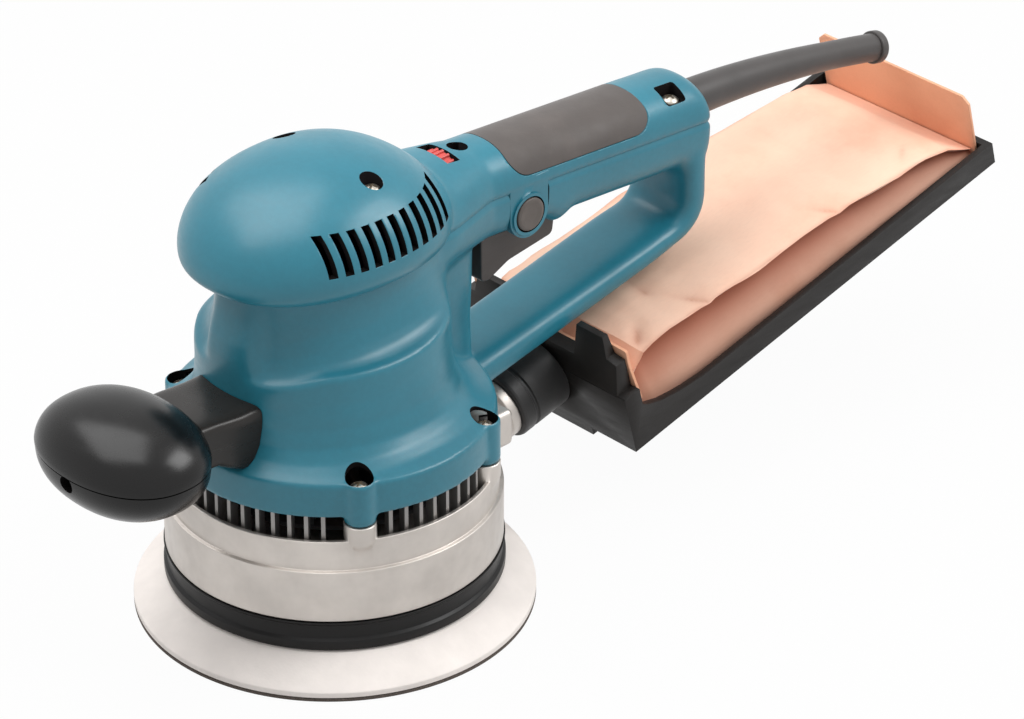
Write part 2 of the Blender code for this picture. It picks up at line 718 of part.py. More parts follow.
def make_orbit_drive():
    """The eccentric hub, the pad bearing in it and the spindle that the bearing carries."""
    low = ECCENTRIC_Z
    high = low + ECCENTRIC_HEIGHT
    hub = mesh_object("eccentric_hub", tube(ECCENTRIC_RADIUS, 0, low, high, ROUND), "steel")
    cut(hub, tube(PAD_BEARING_RADIUS + GAP, 0, low - 0.01,
                  PAD_BEARING_Z + PAD_BEARING_WIDTH + GAP, SMALL_ROUND, ORBIT))
    cut(hub, tube(SHAFT_RADIUS + GAP, 0, low, high + 0.01))
    side = -ORBIT.normalized()
    turn = Matrix.Rotation(math.atan2(side.y, side.x), 4, "Z")
    past = ECCENTRIC_RADIUS * 2
    cut(hub, moved(block((-past, -past, high - BALANCE_CUT),
                         (ECCENTRIC_RADIUS * 0.11, past, high + BALANCE_CUT)), turn))
    bearing("pad_bearing", PAD_BEARING_RADIUS, PAD_BEARING_BORE, PAD_BEARING_Z,
            PAD_BEARING_WIDTH, ORBIT)
    spindle_top = PAD_BEARING_Z + PAD_BEARING_WIDTH - GAP
    mesh_object("pad_spindle", turned([
        (PAD_BOLT_RADIUS + GAP, PAD_TOP_Z + GAP), (SPINDLE_FLANGE, PAD_TOP_Z + GAP),
        (SPINDLE_FLANGE, PAD_TOP_Z + SPINDLE_RIM), (SPINDLE_NECK * 1.1, ECCENTRIC_Z - 0.001),
        (SPINDLE_NECK, PAD_BEARING_Z - GAP), (PAD_BEARING_BORE - GAP, PAD_BEARING_Z - GAP),
        (PAD_BEARING_BORE - GAP, spindle_top), (PAD_BOLT_RADIUS + GAP, spindle_top),
    ], SMALL_ROUND, ORBIT), "steel")
    head = PAD_BASE_Z + 0.0040 - GAP
    mesh_object("pad_bolt", turned([
        (0, head - 0.0025), (PAD_BOLT_RADIUS * 1.8, head - 0.0025),
        (PAD_BOLT_RADIUS * 1.8, head), (PAD_BOLT_RADIUS, head),
        (PAD_BOLT_RADIUS, spindle_top - 0.001), (0, spindle_top - 0.001),
    ], SMALL_ROUND, ORBIT), "steel")


# ================================================================ skirt and fan housing
def make_skirt_ring():
    outer = SKIRT_RADIUS + 0.0006
    inner = outer - RING_WALL
    top = SKIRT_Z - GAP
    mesh_object("skirt_ring", turned([
        (outer, RING_Z), (outer, RING_Z + 0.0035), (outer - RING_GROOVE, RING_Z + 0.0045),
        (outer - RING_GROOVE, top - 0.0015), (outer, top - 0.0005), (outer, top),
        (inner, top), (inner, RING_Z),
    ]), "ring_plastic")


def dust_frame(y, z):
    """Local Y along the rising dust axis, from a point in the middle plane."""
    return Matrix.Translation((0, y, z)) @ Matrix.Rotation(DUST_TILT, 4, "X")


def along_dust_axis(outer, inner, start, end, sides=SMALL_ROUND):
    """A ring or rod on the nozzle's axis; start and end are measured from its collar's end."""
    lie_down = Matrix.Rotation(-math.pi / 2, 4, "X")
    frame = dust_frame(NOZZLE_END_Y, NOZZLE_END_Z) @ lie_down
    return moved(tube(outer, inner, start, end, sides), frame)


def make_fan_housing():
    outer = SKIRT_RADIUS
    band = SKIRT_RADIUS - STEP_DEPTH
    inner = SKIRT_RADIUS - SKIRT_WALL
    hub = LOWER_BEARING_RADIUS + 0.0035
    hub_top = LOWER_BEARING_Z + LOWER_BEARING_WIDTH + GAP
    body = mesh_object("fan_housing", turned([
        (outer - 0.0006, SKIRT_Z), (outer, SKIRT_Z + 0.0006), (outer, STEP_Z - 0.0006),
        (band, STEP_Z), (band, RIM_Z - 0.0008), (band - 0.0008, RIM_Z),
        (inner + 0.0012, RIM_Z), (inner + 0.0012, STEP_Z),
        (hub, STEP_Z), (hub, hub_top), (LOWER_BEARING_RADIUS + GAP, hub_top),
        (LOWER_BEARING_RADIUS + GAP, LOWER_BEARING_Z), (SHAFT_RADIUS + RUNNING_GAP, LOWER_BEARING_Z),
        (SHAFT_RADIUS + RUNNING_GAP, DECK_Z - 0.0015), (hub, DECK_Z - 0.0015), (hub, DECK_Z),
        (inner, DECK_Z), (inner, SKIRT_Z),
    ]), "cast_aluminium")
    join(body, block((-BLOCK_HALF_WIDTH, COOLING_FAN_RADIUS + 0.0020, STEP_Z + 0.0005),
                     (BLOCK_HALF_WIDTH, BLOCK_REACH, STEP_Z + BLOCK_HEIGHT)))
    join(body, along_dust_axis(NOZZLE_RADIUS, 0, -0.030, -0.001, SMALL_ROUND))
    join(body, along_dust_axis(NOZZLE_COLLAR, 0, -NOZZLE_COLLAR_LENGTH, 0, SMALL_ROUND))
    join(body, along_dust_axis(SPIGOT_RADIUS, 0, -0.003, SPIGOT_LENGTH, SMALL_ROUND))
    cut(body, along_dust_axis(NOZZLE_BORE, 0, -0.036, SPIGOT_LENGTH + 0.01))
    boss_top = FLANGE_Z - BOSS_DROP - GAP
    for place in boss_places():
        lean = place.normalized() * (BOSS_RADIUS * 0.9)
        foot = [p - lean for p in ring_points(BOSS_RADIUS * 0.8, STEP_Z + 0.0006, place)]
        knee = ring_points(BOSS_RADIUS, RIM_Z - 0.0005, place)
        head = ring_points(BOSS_RADIUS, boss_top, place)
        join(body, skin([foot, knee, head]))
    cut(body, merged([tube(BASE_SCREW_RADIUS + GAP, 0, RIM_Z - 0.004, boss_top + 0.01, SCREW_ROUND, place)
                      for place in boss_places()]))
    join_teeth(body, inner)
    return body


def ring_points(radius, height, centre, sides=SCREW_ROUND):
    return [
        Vector((centre.x + radius * math.cos(a), centre.y + radius * math.sin(a), height))
        for a in (2 * math.pi * i / sides for i in range(sides))
    ]


def join_teeth(body, inner):
    """Upright ribs between the rim and the motor flange, with the air outlets between them."""
    boss_angles = [math.atan2(place.y, place.x) for place in boss_places()]
    block_angle = math.atan2(inner, BLOCK_HALF_WIDTH + 0.002)
    teeth = []
    for i in range(int(2 * math.pi / TOOTH_PITCH)):
        angle = -math.pi + TOOTH_PITCH * (i + 0.5)
        clear = min(abs((angle - b + math.pi) % (2 * math.pi) - math.pi) for b in boss_angles)
        if clear < TOOTH_PITCH * 0.8 or block_angle < angle < math.pi - block_angle:
            continue
        middle = inner - TOOTH_DEPTH / 2 + 0.0020
        bar = block((middle - TOOTH_DEPTH / 2, -TOOTH_WIDTH / 2, DECK_Z + 0.001),
                    (middle + TOOTH_DEPTH / 2, TOOTH_WIDTH / 2, FLANGE_Z - GAP))
        teeth.append(moved(bar, Matrix.Rotation(angle, 4, "Z")))
    join(body, merged(teeth))


# ================================================================ housings
def handle_cavity(low_shift, high_shift, half, start, end):
    """The hollow of the handle between two heights measured from the seam."""
    line = [
        (start, seam_height(start) + low_shift), (end, seam_height(end) + low_shift),
        (end, seam_height(end) + high_shift), (start, seam_height(start) + high_shift),
    ]
    return extruded(line, 2 * half,
                    Matrix(((0, 0, 1, 0), (1, 0, 0, 0), (0, 1, 0, 0), (0, 0, 0, 1))))


LOBE_INNER = HANDLE_HALF_WIDTH - SHELL - 0.0015


def lock_lobe(grow, outer=HANDLE_HALF_WIDTH + 0.004):
    """The lobe of the top cover that hangs below the seam round the lock button, on +X."""
    radius = LOBE_RADIUS + grow
    centre_z = seam_height(LOCK_Y) - LOCK_DROP
    outline = [(LOCK_Y + radius, SEAM_Z + 0.002), (LOCK_Y - radius, SEAM_Z + 0.002)]
    steps = 12
    for i in range(steps + 1):
        angle = math.pi * i / steps
        outline.append((LOCK_Y - radius * math.cos(angle), centre_z - radius * math.sin(angle)))
    inner = LOBE_INNER - grow
    middle = (inner + outer) / 2
    side_on = Matrix(((0, 0, 1, middle), (1, 0, 0, 0), (0, 1, 0, 0), (0, 0, 0, 1)))
    return extruded(outline, outer - inner, side_on)


def lock_round(radius, start, proud):
    """A round on the lock button's axis, from x = start to proud of the handle's side."""
    centre = Vector((0, LOCK_Y, seam_height(LOCK_Y) - LOCK_DROP))
    turn = Matrix.Translation(centre) @ Matrix.Rotation(math.pi / 2, 4, "Y")
    return moved(tube(radius, 0, start, HANDLE_HALF_WIDTH + proud, HIDDEN_ROUND), turn)


def trigger_slot():
    side = TRIGGER_HALF_WIDTH + GAP * 2
    return block((-side, TRIGGER_START - GAP * 2, SEAM_Z - HANDLE_DEPTH - 0.010),
                 (side, TRIGGER_START + TRIGGER_LENGTH + GAP * 2, SEAM_Z))


def guard_axis():
    """Points and radii of the cord guard from inside the handle to its tip."""
    start = HANDLE_END - 0.0075
    stations = []
    for i in range(12):
        share = i / 11
        y = start + GUARD_LENGTH * share
        z = seam_height(HANDLE_END) + 0.0020 - GUARD_DROP * share ** 1.7
        radius = mix(GUARD_BASE_RADIUS, GUARD_TIP_RADIUS, min(1.0, share * 1.35))
        stations.append((Vector((0, y, z)), radius))
    return stations


def guard_form(grow=0.0, last=None):
    stations = guard_axis()[:last]
    sections = []
    for i, (centre, radius) in enumerate(stations):
        before = stations[max(i - 1, 0)][0]
        after = stations[min(i + 1, len(stations) - 1)][0]
        along = (after - before).normalized()
        up = Vector((1, 0, 0)).cross(along)
        sections.append([
            centre + (Vector((1, 0, 0)) * math.cos(a) + up * math.sin(a)) * (radius + grow)
            for a in (2 * math.pi * k / SCREW_ROUND for k in range(SCREW_ROUND))
        ])
    return skin(sections)


def make_motor_housing():
    body = mesh_object("motor_housing", barrel_form(), "teal_plastic")
    join(body, handle_form())
    join(body, loop_form())
    join(body, web_form())
    for place in boss_places():
        join(body, tube(BOSS_RADIUS, 0, FLANGE_Z - BOSS_DROP, CREASE_LOW_Z + 0.001, SCREW_ROUND, place))
    keep(body, below_seam(GAP / 2))
    cut(body, barrel_form(-SHELL, FLANGE_Z - 0.02, SEAM_Z + 0.02, HIDDEN_ROUND))
    cut(body, handle_cavity(-HANDLE_DEPTH + HANDLE_FLOOR, 0.01, HANDLE_HALF_WIDTH - HANDLE_WALL,
                            BARREL_REAR - CAVITY_START, HANDLE_END - CAVITY_END))
    cut(body, trigger_slot())
    cut(body, lock_lobe(GAP))
    cut(body, lock_round(LOCK_RADIUS + GAP * 2, LOBE_INNER - LOCK_TRAVEL - GAP * 2, 0.01))
    cut(body, guard_form(GAP, 4))
    cut(body, guard_collar(GAP * 2))
    for place in boss_places():
        head = CREASE_LOW_Z - 0.0035
        cut(body, tube(SCREW_HEAD_RADIUS + GAP * 2, 0, head, SEAM_Z, SCREW_ROUND, place))
        cut(body, tube(BASE_SCREW_RADIUS + GAP, 0, FLANGE_Z - 0.02, head + 0.001, SCREW_ROUND, place))
    join(body, upper_bearing_seat())
    return body



def upper_bearing_seat():
    """A bridge across the barrel with the cup of the upper bearing."""
    reach = WAIST_HALF_WIDTH - 0.0012
    low = UPPER_BEARING_Z - 0.0020
    high = UPPER_BEARING_Z + UPPER_BEARING_WIDTH - 0.0010
    seat = UPPER_BEARING_RADIUS + GAP
    half = seat + 0.0025
    outline = [(-reach, -0.007), (-half, -half), (half, -half), (reach, -0.007),
               (reach, 0.007), (half, half), (-half, half), (-reach, 0.007)]
    inner = ring_points(seat, 0, Vector((0, 0, 0)), SMALL_ROUND)
    lower = ring_points(SHAFT_RADIUS + RUNNING_GAP, 0, Vector((0, 0, 0)), SMALL_ROUND)
    plate = skin([[Vector((x, y, z)) for x, y in outline] for z in (low, high)])
    made = helper("upper_bearing_seat.form", plate)
    cut(made, skin([[Vector((p.x, p.y, z)) for p in inner] for z in (UPPER_BEARING_Z, high + 0.01)]))
    cut(made, skin([[Vector((p.x, p.y, z)) for p in lower] for z in (low - 0.01, high)]))
    graph = bpy.context.evaluated_depsgraph_get()
    result = bmesh.new()
    result.from_object(made, graph)
    return result


def guard_collar(grow):
    """The round foot of the cord guard, held inside the end of the handle."""
    centre, _ = guard_axis()[0]
    lie_down = Matrix.Translation(centre) @ Matrix.Rotation(-math.pi / 2, 4, "X")
    return moved(tube(GUARD_COLLAR_RADIUS + grow, 0, -0.0025 - grow, 0.0015 + grow, 20), lie_down)


def make_top_cover():
    body = mesh_object("top_cover", dome_form(), "teal_plastic")
    join(body, handle_form(start=DOME_REAR * 0.4))
    keep(body, above_seam(GAP / 2))
    join(body, lock_lobe(0, HANDLE_HALF_WIDTH - 0.0003))
    cut(body, dome_form(-SHELL, -0.01, HIDDEN_ROUND, 5))
    cut(body, handle_cavity(-0.01, HANDLE_RISE - 0.0065, HANDLE_HALF_WIDTH - 0.0060,
                            BARREL_REAR - CAVITY_START, HANDLE_END - CAVITY_END))
    cut(body, grip_form(GAP, GAP))
    join(body, lock_round(LOCK_RADIUS + LOCK_LIP, LOBE_INNER + 0.0005, 0.0004))
    cut(body, lock_round(LOCK_RADIUS + GAP * 2, 0, 0.01))
    cut(body, guard_form(GAP, 4))
    cut(body, guard_collar(GAP * 2))
    cut(body, merged([slot_cutter(i) for i in range(SLOT_COUNT)]))
    cut(body, dial_slot())
    for side in (-1, 1):
        place = Vector((side * DOME_SCREW_X, DOME_SCREW_Y, 0))
        seat = SEAM_Z + DOME_SCREW_SEAT
        join(body, dome_screw_boss(place, seat - 0.0030))
        cut(body, tube(DOME_SCREW_POCKET, 0, seat, SEAM_Z + DOME_HEIGHT + 0.01, SCREW_ROUND, place))
        cut(body, tube(BASE_SCREW_RADIUS + GAP, 0, seat - 0.01, seat + 0.001, SCREW_ROUND, place))
    front = Vector((0, HANDLE_SCREW_FRONT_Y, 0))
    rear = Vector((HANDLE_SCREW_REAR_X, HANDLE_SCREW_REAR_Y, 0))
    for place in (front, rear):
        seat = seam_height(place.y) + HANDLE_SCREW_SEAT
        cut(body, tube(HANDLE_SCREW_POCKET, 0, seat, seat + 0.03, SCREW_ROUND, place))
        cut(body, tube(BASE_SCREW_RADIUS + GAP, 0, seat - 0.02, seat + 0.001, SCREW_ROUND, place))
    return body


def dome_height_at(point, inset):
    """Height of the dome's skin over a point in plan, measured inset below its outside."""
    across = point.x / (DOME_HALF_WIDTH - inset)
    along = (point.y - DOME_CENTRE_Y) / (DOME_FRONT - inset)
    rise = (DOME_HEIGHT - DOME_SIDE_RISE - inset) * math.sqrt(1 - across ** 2 - along ** 2)
    return SEAM_Z + DOME_SIDE_RISE + rise


def dome_screw_boss(place, low):
    """A post under the dome for one cover screw; its top follows the dome's skin."""
    foot = ring_points(DOME_SCREW_POCKET + 0.0018, low, place)
    head = [Vector((p.x, p.y, dome_height_at(p, SHELL / 2))) for p in foot]
    return skin([foot, head])


def slot_cutter(index):
    y = SLOT_START_Y + SLOT_PITCH * index
    reach = DOME_HALF_WIDTH + 0.01
    return block((-reach, y - SLOT_WIDTH / 2, SEAM_Z + SLOT_LOW),
                 (reach, y + SLOT_WIDTH / 2, SEAM_Z + SLOT_HIGH))


def dial_slot():
    """Wide inside the handle for the whole wheel, narrower where it comes out on top."""
    wide = DIAL_RADIUS + GAP * 2
    side = [(wide, SEAM_Z + 0.0040), (wide, DIAL_Z + 0.0035), (DIAL_SLOT_HALF, DIAL_Z + 0.0060),
            (DIAL_SLOT_HALF, DIAL_Z + DIAL_RADIUS + 0.02)]
    outline = side + [(-x, z) for x, z in reversed(side)]
    stand = Matrix.Translation((0, DIAL_Y, 0)) @ Matrix.Rotation(math.pi / 2, 4, "X")
    return extruded(outline, DIAL_WIDTH + GAP * 4, stand)


def grip_form(grow_in, grow_out, count=18):
    """A saddle over the top of the handle: a band of even thickness with rounded ends."""
    sections = []
    steps = 10
    for i in range(steps + 1):
        share = i / steps
        y = mix(GRIP_START - grow_out, GRIP_END + grow_out, share)
        half, rise, _ = handle_station(y)
        seam = seam_height(y)
        low = math.asin(min(1.0, (GRIP_LOW / rise) ** 1.15)) + 0.02
        near_end = min(share, 1 - share) / 0.12
        if near_end < 1:
            low = mix(math.radians(50), low, math.sqrt(max(0.0, 1 - (1 - near_end) ** 2)))
        low -= grow_out * 70
        points = []
        for outward in (True, False):
            for k in range(count):
                step = k / (count - 1)
                angle = mix(low, math.pi - low, step if outward else 1 - step)
                inset = -grow_out * 4 if outward and grow_out else (
                    0.0 if outward else GRIP_THICKNESS + grow_in)
                across = math.cos(angle)
                up = math.sin(angle)
                x = (half - inset) * math.copysign(abs(across) ** (2 / 2.3), across)
                z = (rise - inset) * abs(up) ** (2 / 2.3)
                points.append(Vector((x, y, seam + z)))
        sections.append(points)
    return skin(sections)


# ================================================================ controls
def make_controls():
    mesh_object("grip_overmould", grip_form(0, 0), "grip_rubber")

    top = TRIGGER_TOP_Z
    low = SEAM_Z - HANDLE_DEPTH
    start = TRIGGER_START
    end = TRIGGER_START + TRIGGER_LENGTH
    side = [(start, top), (start, low - TRIGGER_FRONT_DEPTH + 0.004),
            (start + 0.003, low - TRIGGER_FRONT_DEPTH + 0.0005),
            (start + 0.009, low - TRIGGER_FRONT_DEPTH + 0.0010),
            (end - 0.004, low - TRIGGER_REAR_DEPTH), (end, low - TRIGGER_REAR_DEPTH + 0.003),
            (end, top)]
    frame = Matrix(((0, 0, 1, 0), (1, 0, 0, 0), (0, 1, 0, 0), (0, 0, 0, 1)))
    shape = extruded(side, TRIGGER_HALF_WIDTH * 2, frame)
    trigger = mesh_object("trigger", shape, "trigger_plastic")
    round_edges(trigger, 0.0015)
    set_origin(trigger, (0, end - 0.002, top - 0.002))

    centre_z = seam_height(LOCK_Y) - LOCK_DROP
    face = HANDLE_HALF_WIDTH + LOCK_PROUD
    turn = Matrix.Translation((0, LOCK_Y, centre_z)) @ Matrix.Rotation(math.pi / 2, 4, "Y")
    button = mesh_object("lock_button", moved(turned([
        (0, LOBE_INNER), (LOCK_RADIUS, LOBE_INNER), (LOCK_RADIUS, face - 0.0006),
        (LOCK_RADIUS - 0.0008, face), (0, face + 0.0002)], HIDDEN_ROUND), turn), "button_plastic")
    set_origin(button, (face, LOCK_Y, centre_z))

    wheel = []
    for i in range(DIAL_RIBS * 2):
        angle = math.pi * i / DIAL_RIBS
        radius = DIAL_RADIUS - (0.0007 if i % 2 else 0.0)
        wheel.append((radius * math.cos(angle), radius * math.sin(angle)))
    flat = Matrix.Translation((0, DIAL_Y, DIAL_Z)) @ Matrix.Rotation(math.pi / 2, 4, "X")
    dial = mesh_object("speed_dial", extruded(wheel, DIAL_WIDTH, flat), "dial_plastic")
    set_origin(dial, (0, DIAL_Y, DIAL_Z))


def round_edges(target, width, segments=2):
    step = target.modifiers.new("rounded edges", "BEVEL")
    step.width = width
    step.segments = segments
    step.limit_method = "ANGLE"
    step.angle_limit = math.radians(40)


def set_origin(target, point):
    """Moves an object's origin to a joint's axis and leaves its shape where it is."""
    point = Vector(point)
    target.data.transform(Matrix.Translation(-point))
    target.location = point


def screw(name, place, seat, length, radius=BASE_SCREW_RADIUS, head=SCREW_HEAD_RADIUS):
    """A pan-head screw that stands on its seat, with a cross recess in the head."""
    top = seat + GAP + SCREW_HEAD_HEIGHT
    made = mesh_object(name, turned([
        (0, seat - length), (radius, seat - length), (radius, seat + GAP), (head, seat + GAP),
        (head, top - 0.0008), (head * 0.7, top), (0, top)], SCREW_ROUND, place), "screw_steel")
    reach = head * 0.55
    slit = head * 0.12
    cross = [(slit, slit), (slit, reach), (-slit, reach), (-slit, slit), (-reach, slit),
             (-reach, -slit), (-slit, -slit), (-slit, -reach), (slit, -reach), (slit, -slit),
             (reach, -slit), (reach, slit)]
    cut(made, extruded(cross, 0.0020, Matrix.Translation(place + Vector((0, 0, top)))))
    return made


def make_screws():
    names = ("front_left", "front_right", "rear_left", "rear_right")
    for name, place in zip(names, boss_places()):
        screw(f"base_screw_{name}", place, CREASE_LOW_Z - 0.0035, BASE_SCREW_LENGTH)
    for name, side in (("left", -1), ("right", 1)):
        place = Vector((side * DOME_SCREW_X, DOME_SCREW_Y, 0))
        screw(f"dome_screw_{name}", place, SEAM_Z + DOME_SCREW_SEAT, 0.010)
    front = Vector((0, HANDLE_SCREW_FRONT_Y, 0))
    rear = Vector((HANDLE_SCREW_REAR_X, HANDLE_SCREW_REAR_Y, 0))
    screw("handle_screw_front", front, seam_height(front.y) + HANDLE_SCREW_SEAT, 0.008)
    screw("handle_screw_rear", rear, seam_height(rear.y) + HANDLE_SCREW_SEAT, 0.008)


# ================================================================ front grip
def knob_form(grow=0.0, count=28):
    sections = []
    steps = 12
    for i in range(steps + 1):
        share = -math.cos(math.pi * i / steps)
        y = KNOB_Y + (KNOB_HALF_LENGTH + grow) * share * 0.999
        size = (1 - min(1.0, abs(share) * 0.999) ** 2.2) ** (1 / 2.2)
        half = (KNOB_HALF_WIDTH + grow) * size
        high = (KNOB_HALF_HEIGHT + grow) * size
        ring = []
        for k in range(count):
            angle = 2 * math.pi * k / count
            across = math.cos(angle)
            up = math.sin(angle)
            ring.append(Vector((
                half * math.copysign(abs(across) ** (2 / 2.1), across), y,
                KNOB_Z + high * math.copysign(abs(up) ** (2 / 2.1), up))))
        sections.append(ring)
    return skin(sections)


def rod_along_y(radius, start, end, height, sides=16):
    lie_down = Matrix.Translation((0, 0, height)) @ Matrix.Rotation(-math.pi / 2, 4, "X")
    return moved(tube(radius, 0, start, end, sides), lie_down)


def make_front_grip():
    def section(y, half, low, high):
        ring = []
        for k in range(24):
            angle = 2 * math.pi * k / 24
            across = math.cos(angle)
            up = math.sin(angle)
            ring.append(Vector((
                half * math.copysign(abs(across) ** 0.5, across), y,
                (low + high) / 2 + (high - low) / 2 * math.copysign(abs(up) ** 0.5, up))))
        return ring

    reach = KNOB_Y + KNOB_HALF_LENGTH * 0.35
    arm = mesh_object("knob_arm", skin([
        section(-BARREL_FRONT + 0.004, ARM_HALF_WIDTH, ARM_LOW, ARM_HIGH),
        section(-BARREL_FRONT - 0.006, ARM_HALF_WIDTH, ARM_LOW + 0.001, ARM_HIGH),
        section(-BARREL_FRONT - 0.017, ARM_HALF_WIDTH * 0.97, ARM_LOW + 0.007, ARM_HIGH + 0.001),
        section(reach, ARM_HALF_WIDTH * 0.95, KNOB_Z - 0.010, KNOB_Z + 0.008),
    ]), "arm_plastic")
    cut(arm, barrel_form(GAP))
    cut(arm, knob_form(GAP))
    bolt_start = KNOB_Y - KNOB_HALF_LENGTH + 0.006
    bolt_end = -BARREL_FRONT - 0.010
    cut(arm, rod_along_y(KNOB_BOLT_RADIUS + GAP, KNOB_Y, bolt_end + GAP, KNOB_Z - 0.002))
    knob = mesh_object("front_knob", knob_form(), "knob_plastic")
    cut(knob, rod_along_y(KNOB_BOLT_RADIUS + GAP, KNOB_Y - KNOB_HALF_LENGTH * 2,
                          KNOB_Y + KNOB_HALF_LENGTH * 2, KNOB_Z - 0.002))
    mesh_object("knob_bolt", rod_along_y(KNOB_BOLT_RADIUS, bolt_start, bolt_end, KNOB_Z - 0.002),
                "steel")


# ================================================================ cord guard
def make_cord_guard():
    guard = mesh_object("cord_guard", guard_form(), "guard_rubber")
    join(guard, guard_collar(0))
    tip, _ = guard_axis()[-1]
    before, _ = guard_axis()[-2]
    along = (tip - before).normalized()
    turn = Vector((0, 0, 1)).rotation_difference(along).to_matrix().to_4x4()
    join(guard, moved(tube(GUARD_FLANGE_RADIUS, 0, -0.0025, 0.0010, SCREW_ROUND),
                      Matrix.Translation(tip) @ turn))
    stations = guard_axis()
    first = stations[0][0] - Vector((0, 0.01, 0))
    bore = [first] + [centre for centre, _ in stations] + [tip + along * 0.01]
    sections = []
    for i, centre in enumerate(bore):
        direction = (bore[min(i + 1, len(bore) - 1)] - bore[max(i - 1, 0)]).normalized()
        up = Vector((1, 0, 0)).cross(direction)
        sections.append([
            centre + (Vector((1, 0, 0)) * math.cos(a) + up * math.sin(a)) * GUARD_BORE
            for a in (2 * math.pi * k / SCREW_ROUND for k in range(SCREW_ROUND))
        ])
    cut(guard, skin(sections))


# ================================================================ dust holder
def tray_frame():
    return dust_frame(TRAY_FRONT_Y, TRAY_FRONT_Z)


def tray_block(low, high):
    """A box in the tray's own frame: x across, y along the floor, z up from its underside."""
    return moved(block(low, high), tray_frame())


def straddle_outline(half, shoulder_half, shoulder, horn, low):
    """The front wall's outline, notched in the middle for the bar above it."""
    side = [(half, low), (half, TRAY_SIDE_HIGH), (shoulder_half + 0.0005, TRAY_SIDE_HIGH + 0.004),
            (shoulder_half, shoulder), (TRAY_HORN_OUTER + 0.002, shoulder + 0.001),
            (TRAY_HORN_OUTER, horn), (TRAY_HORN_INNER, horn),
            (TRAY_HORN_INNER - 0.0015, TRAY_SHOULDER_HEIGHT - 0.004)]
    return side + [(-x, z) for x, z in reversed(side)]


def upright(outline, thickness, along):
    """An outline in the tray's cross plane, given a thickness along the tray."""
    stand = Matrix.Rotation(math.pi / 2, 4, "X")
    place = tray_frame() @ Matrix.Translation((0, along, 0)) @ stand
    return extruded(outline, thickness, place)


def sleeve_bore(radius):
    return along_dust_axis(radius, 0, -0.01, 0.060)


def make_dust_holder():
    tray = mesh_object("dust_tray", tray_block(
        (-TRAY_HALF_WIDTH, 0, 0), (TRAY_HALF_WIDTH, TRAY_LENGTH, TRAY_SIDE_HIGH)), "holder_plastic")
    cut(tray, tray_block(
        (-TRAY_HALF_WIDTH + TRAY_WALL, TRAY_WALL, TRAY_FLOOR),
        (TRAY_HALF_WIDTH - TRAY_WALL, TRAY_LENGTH - TRAY_WALL, 0.05)))
    far = TRAY_LENGTH + TRAY_WALL * 3
    clear = TRAY_HORN_HEIGHT + TRAY_WALL * 4
    slope = [(TRAY_SLOPE_START, TRAY_SIDE_HIGH), (TRAY_SLOPE_END, TRAY_SIDE_LOW + 0.002),
             (far, TRAY_SIDE_LOW), (far, clear), (TRAY_SLOPE_START, clear)]
    side_on = tray_frame() @ Matrix(((0, 0, 1, 0), (1, 0, 0, 0), (0, 1, 0, 0), (0, 0, 0, 1)))
    cut(tray, extruded(slope, TRAY_HALF_WIDTH * 2.6, side_on))
    join(tray, upright(straddle_outline(TRAY_HALF_WIDTH, TRAY_HALF_WIDTH - TRAY_WALL, TRAY_SHOULDER_HEIGHT,
                                        TRAY_HORN_HEIGHT, 0.0), TRAY_WALL, TRAY_WALL / 2))
    cut(tray, sleeve_bore(SPIGOT_RADIUS + GAP * 2))

    rise = Vector((0, NOZZLE_END_Y, NOZZLE_END_Z)) - Vector((0, TRAY_FRONT_Y, TRAY_FRONT_Z))
    along = rise.y * math.cos(DUST_TILT) + rise.z * math.sin(DUST_TILT)
    mesh_object("dust_sleeve", along_dust_axis(
        SLEEVE_RADIUS, SPIGOT_RADIUS + GAP, GAP, -along - GAP), "sleeve_rubber")

    card = mesh_object("bag_front_card", upright(straddle_outline(
        CARD_HALF_WIDTH, CARD_HALF_WIDTH - 0.0005, CARD_HEIGHT - 0.003, CARD_HEIGHT,
        TRAY_FLOOR + GAP), CARD_THICKNESS, TRAY_WALL + GAP + CARD_THICKNESS / 2), "bag_card")
    cut(card, sleeve_bore(SPIGOT_RADIUS + GAP * 2))

    end = TRAY_LENGTH - TRAY_WALL - GAP
    flap = [(-FLAP_HALF_WIDTH, TRAY_FLOOR + GAP), (FLAP_HALF_WIDTH, TRAY_FLOOR + GAP),
            (FLAP_HALF_WIDTH, FLAP_HEIGHT - 0.004), (FLAP_HALF_WIDTH - 0.003, FLAP_HEIGHT),
            (-FLAP_HALF_WIDTH + 0.003, FLAP_HEIGHT), (-FLAP_HALF_WIDTH, FLAP_HEIGHT - 0.004)]
    mesh_object("bag_end_flap", upright(flap, CARD_THICKNESS, end - CARD_THICKNESS / 2),
                "bag_card")

    start = TRAY_WALL + CARD_THICKNESS + GAP * 2
    stop = end - CARD_THICKNESS - GAP
    sections = []
    for i in range(9):
        share = i / 8
        v = mix(start, stop, share)
        fold = mix(BAG_FOLD_FRONT, BAG_FOLD_REAR, share ** 1.8)
        base = TRAY_FLOOR + GAP
        outline = [(-BAG_HALF_WIDTH, base), (BAG_HALF_WIDTH, base), (BAG_HALF_WIDTH, fold)]
        for k in range(1, 6):
            angle = math.pi * k / 6
            outline.append((BAG_HALF_WIDTH * math.cos(angle),
                            fold + BAG_CROWN * math.sin(angle) ** 0.7))
        outline.append((-BAG_HALF_WIDTH, fold))
        sections.append([tray_frame() @ Vector((x, v, z)) for x, z in outline])
    mesh_object("paper_bag", skin(sections), "bag_paper")


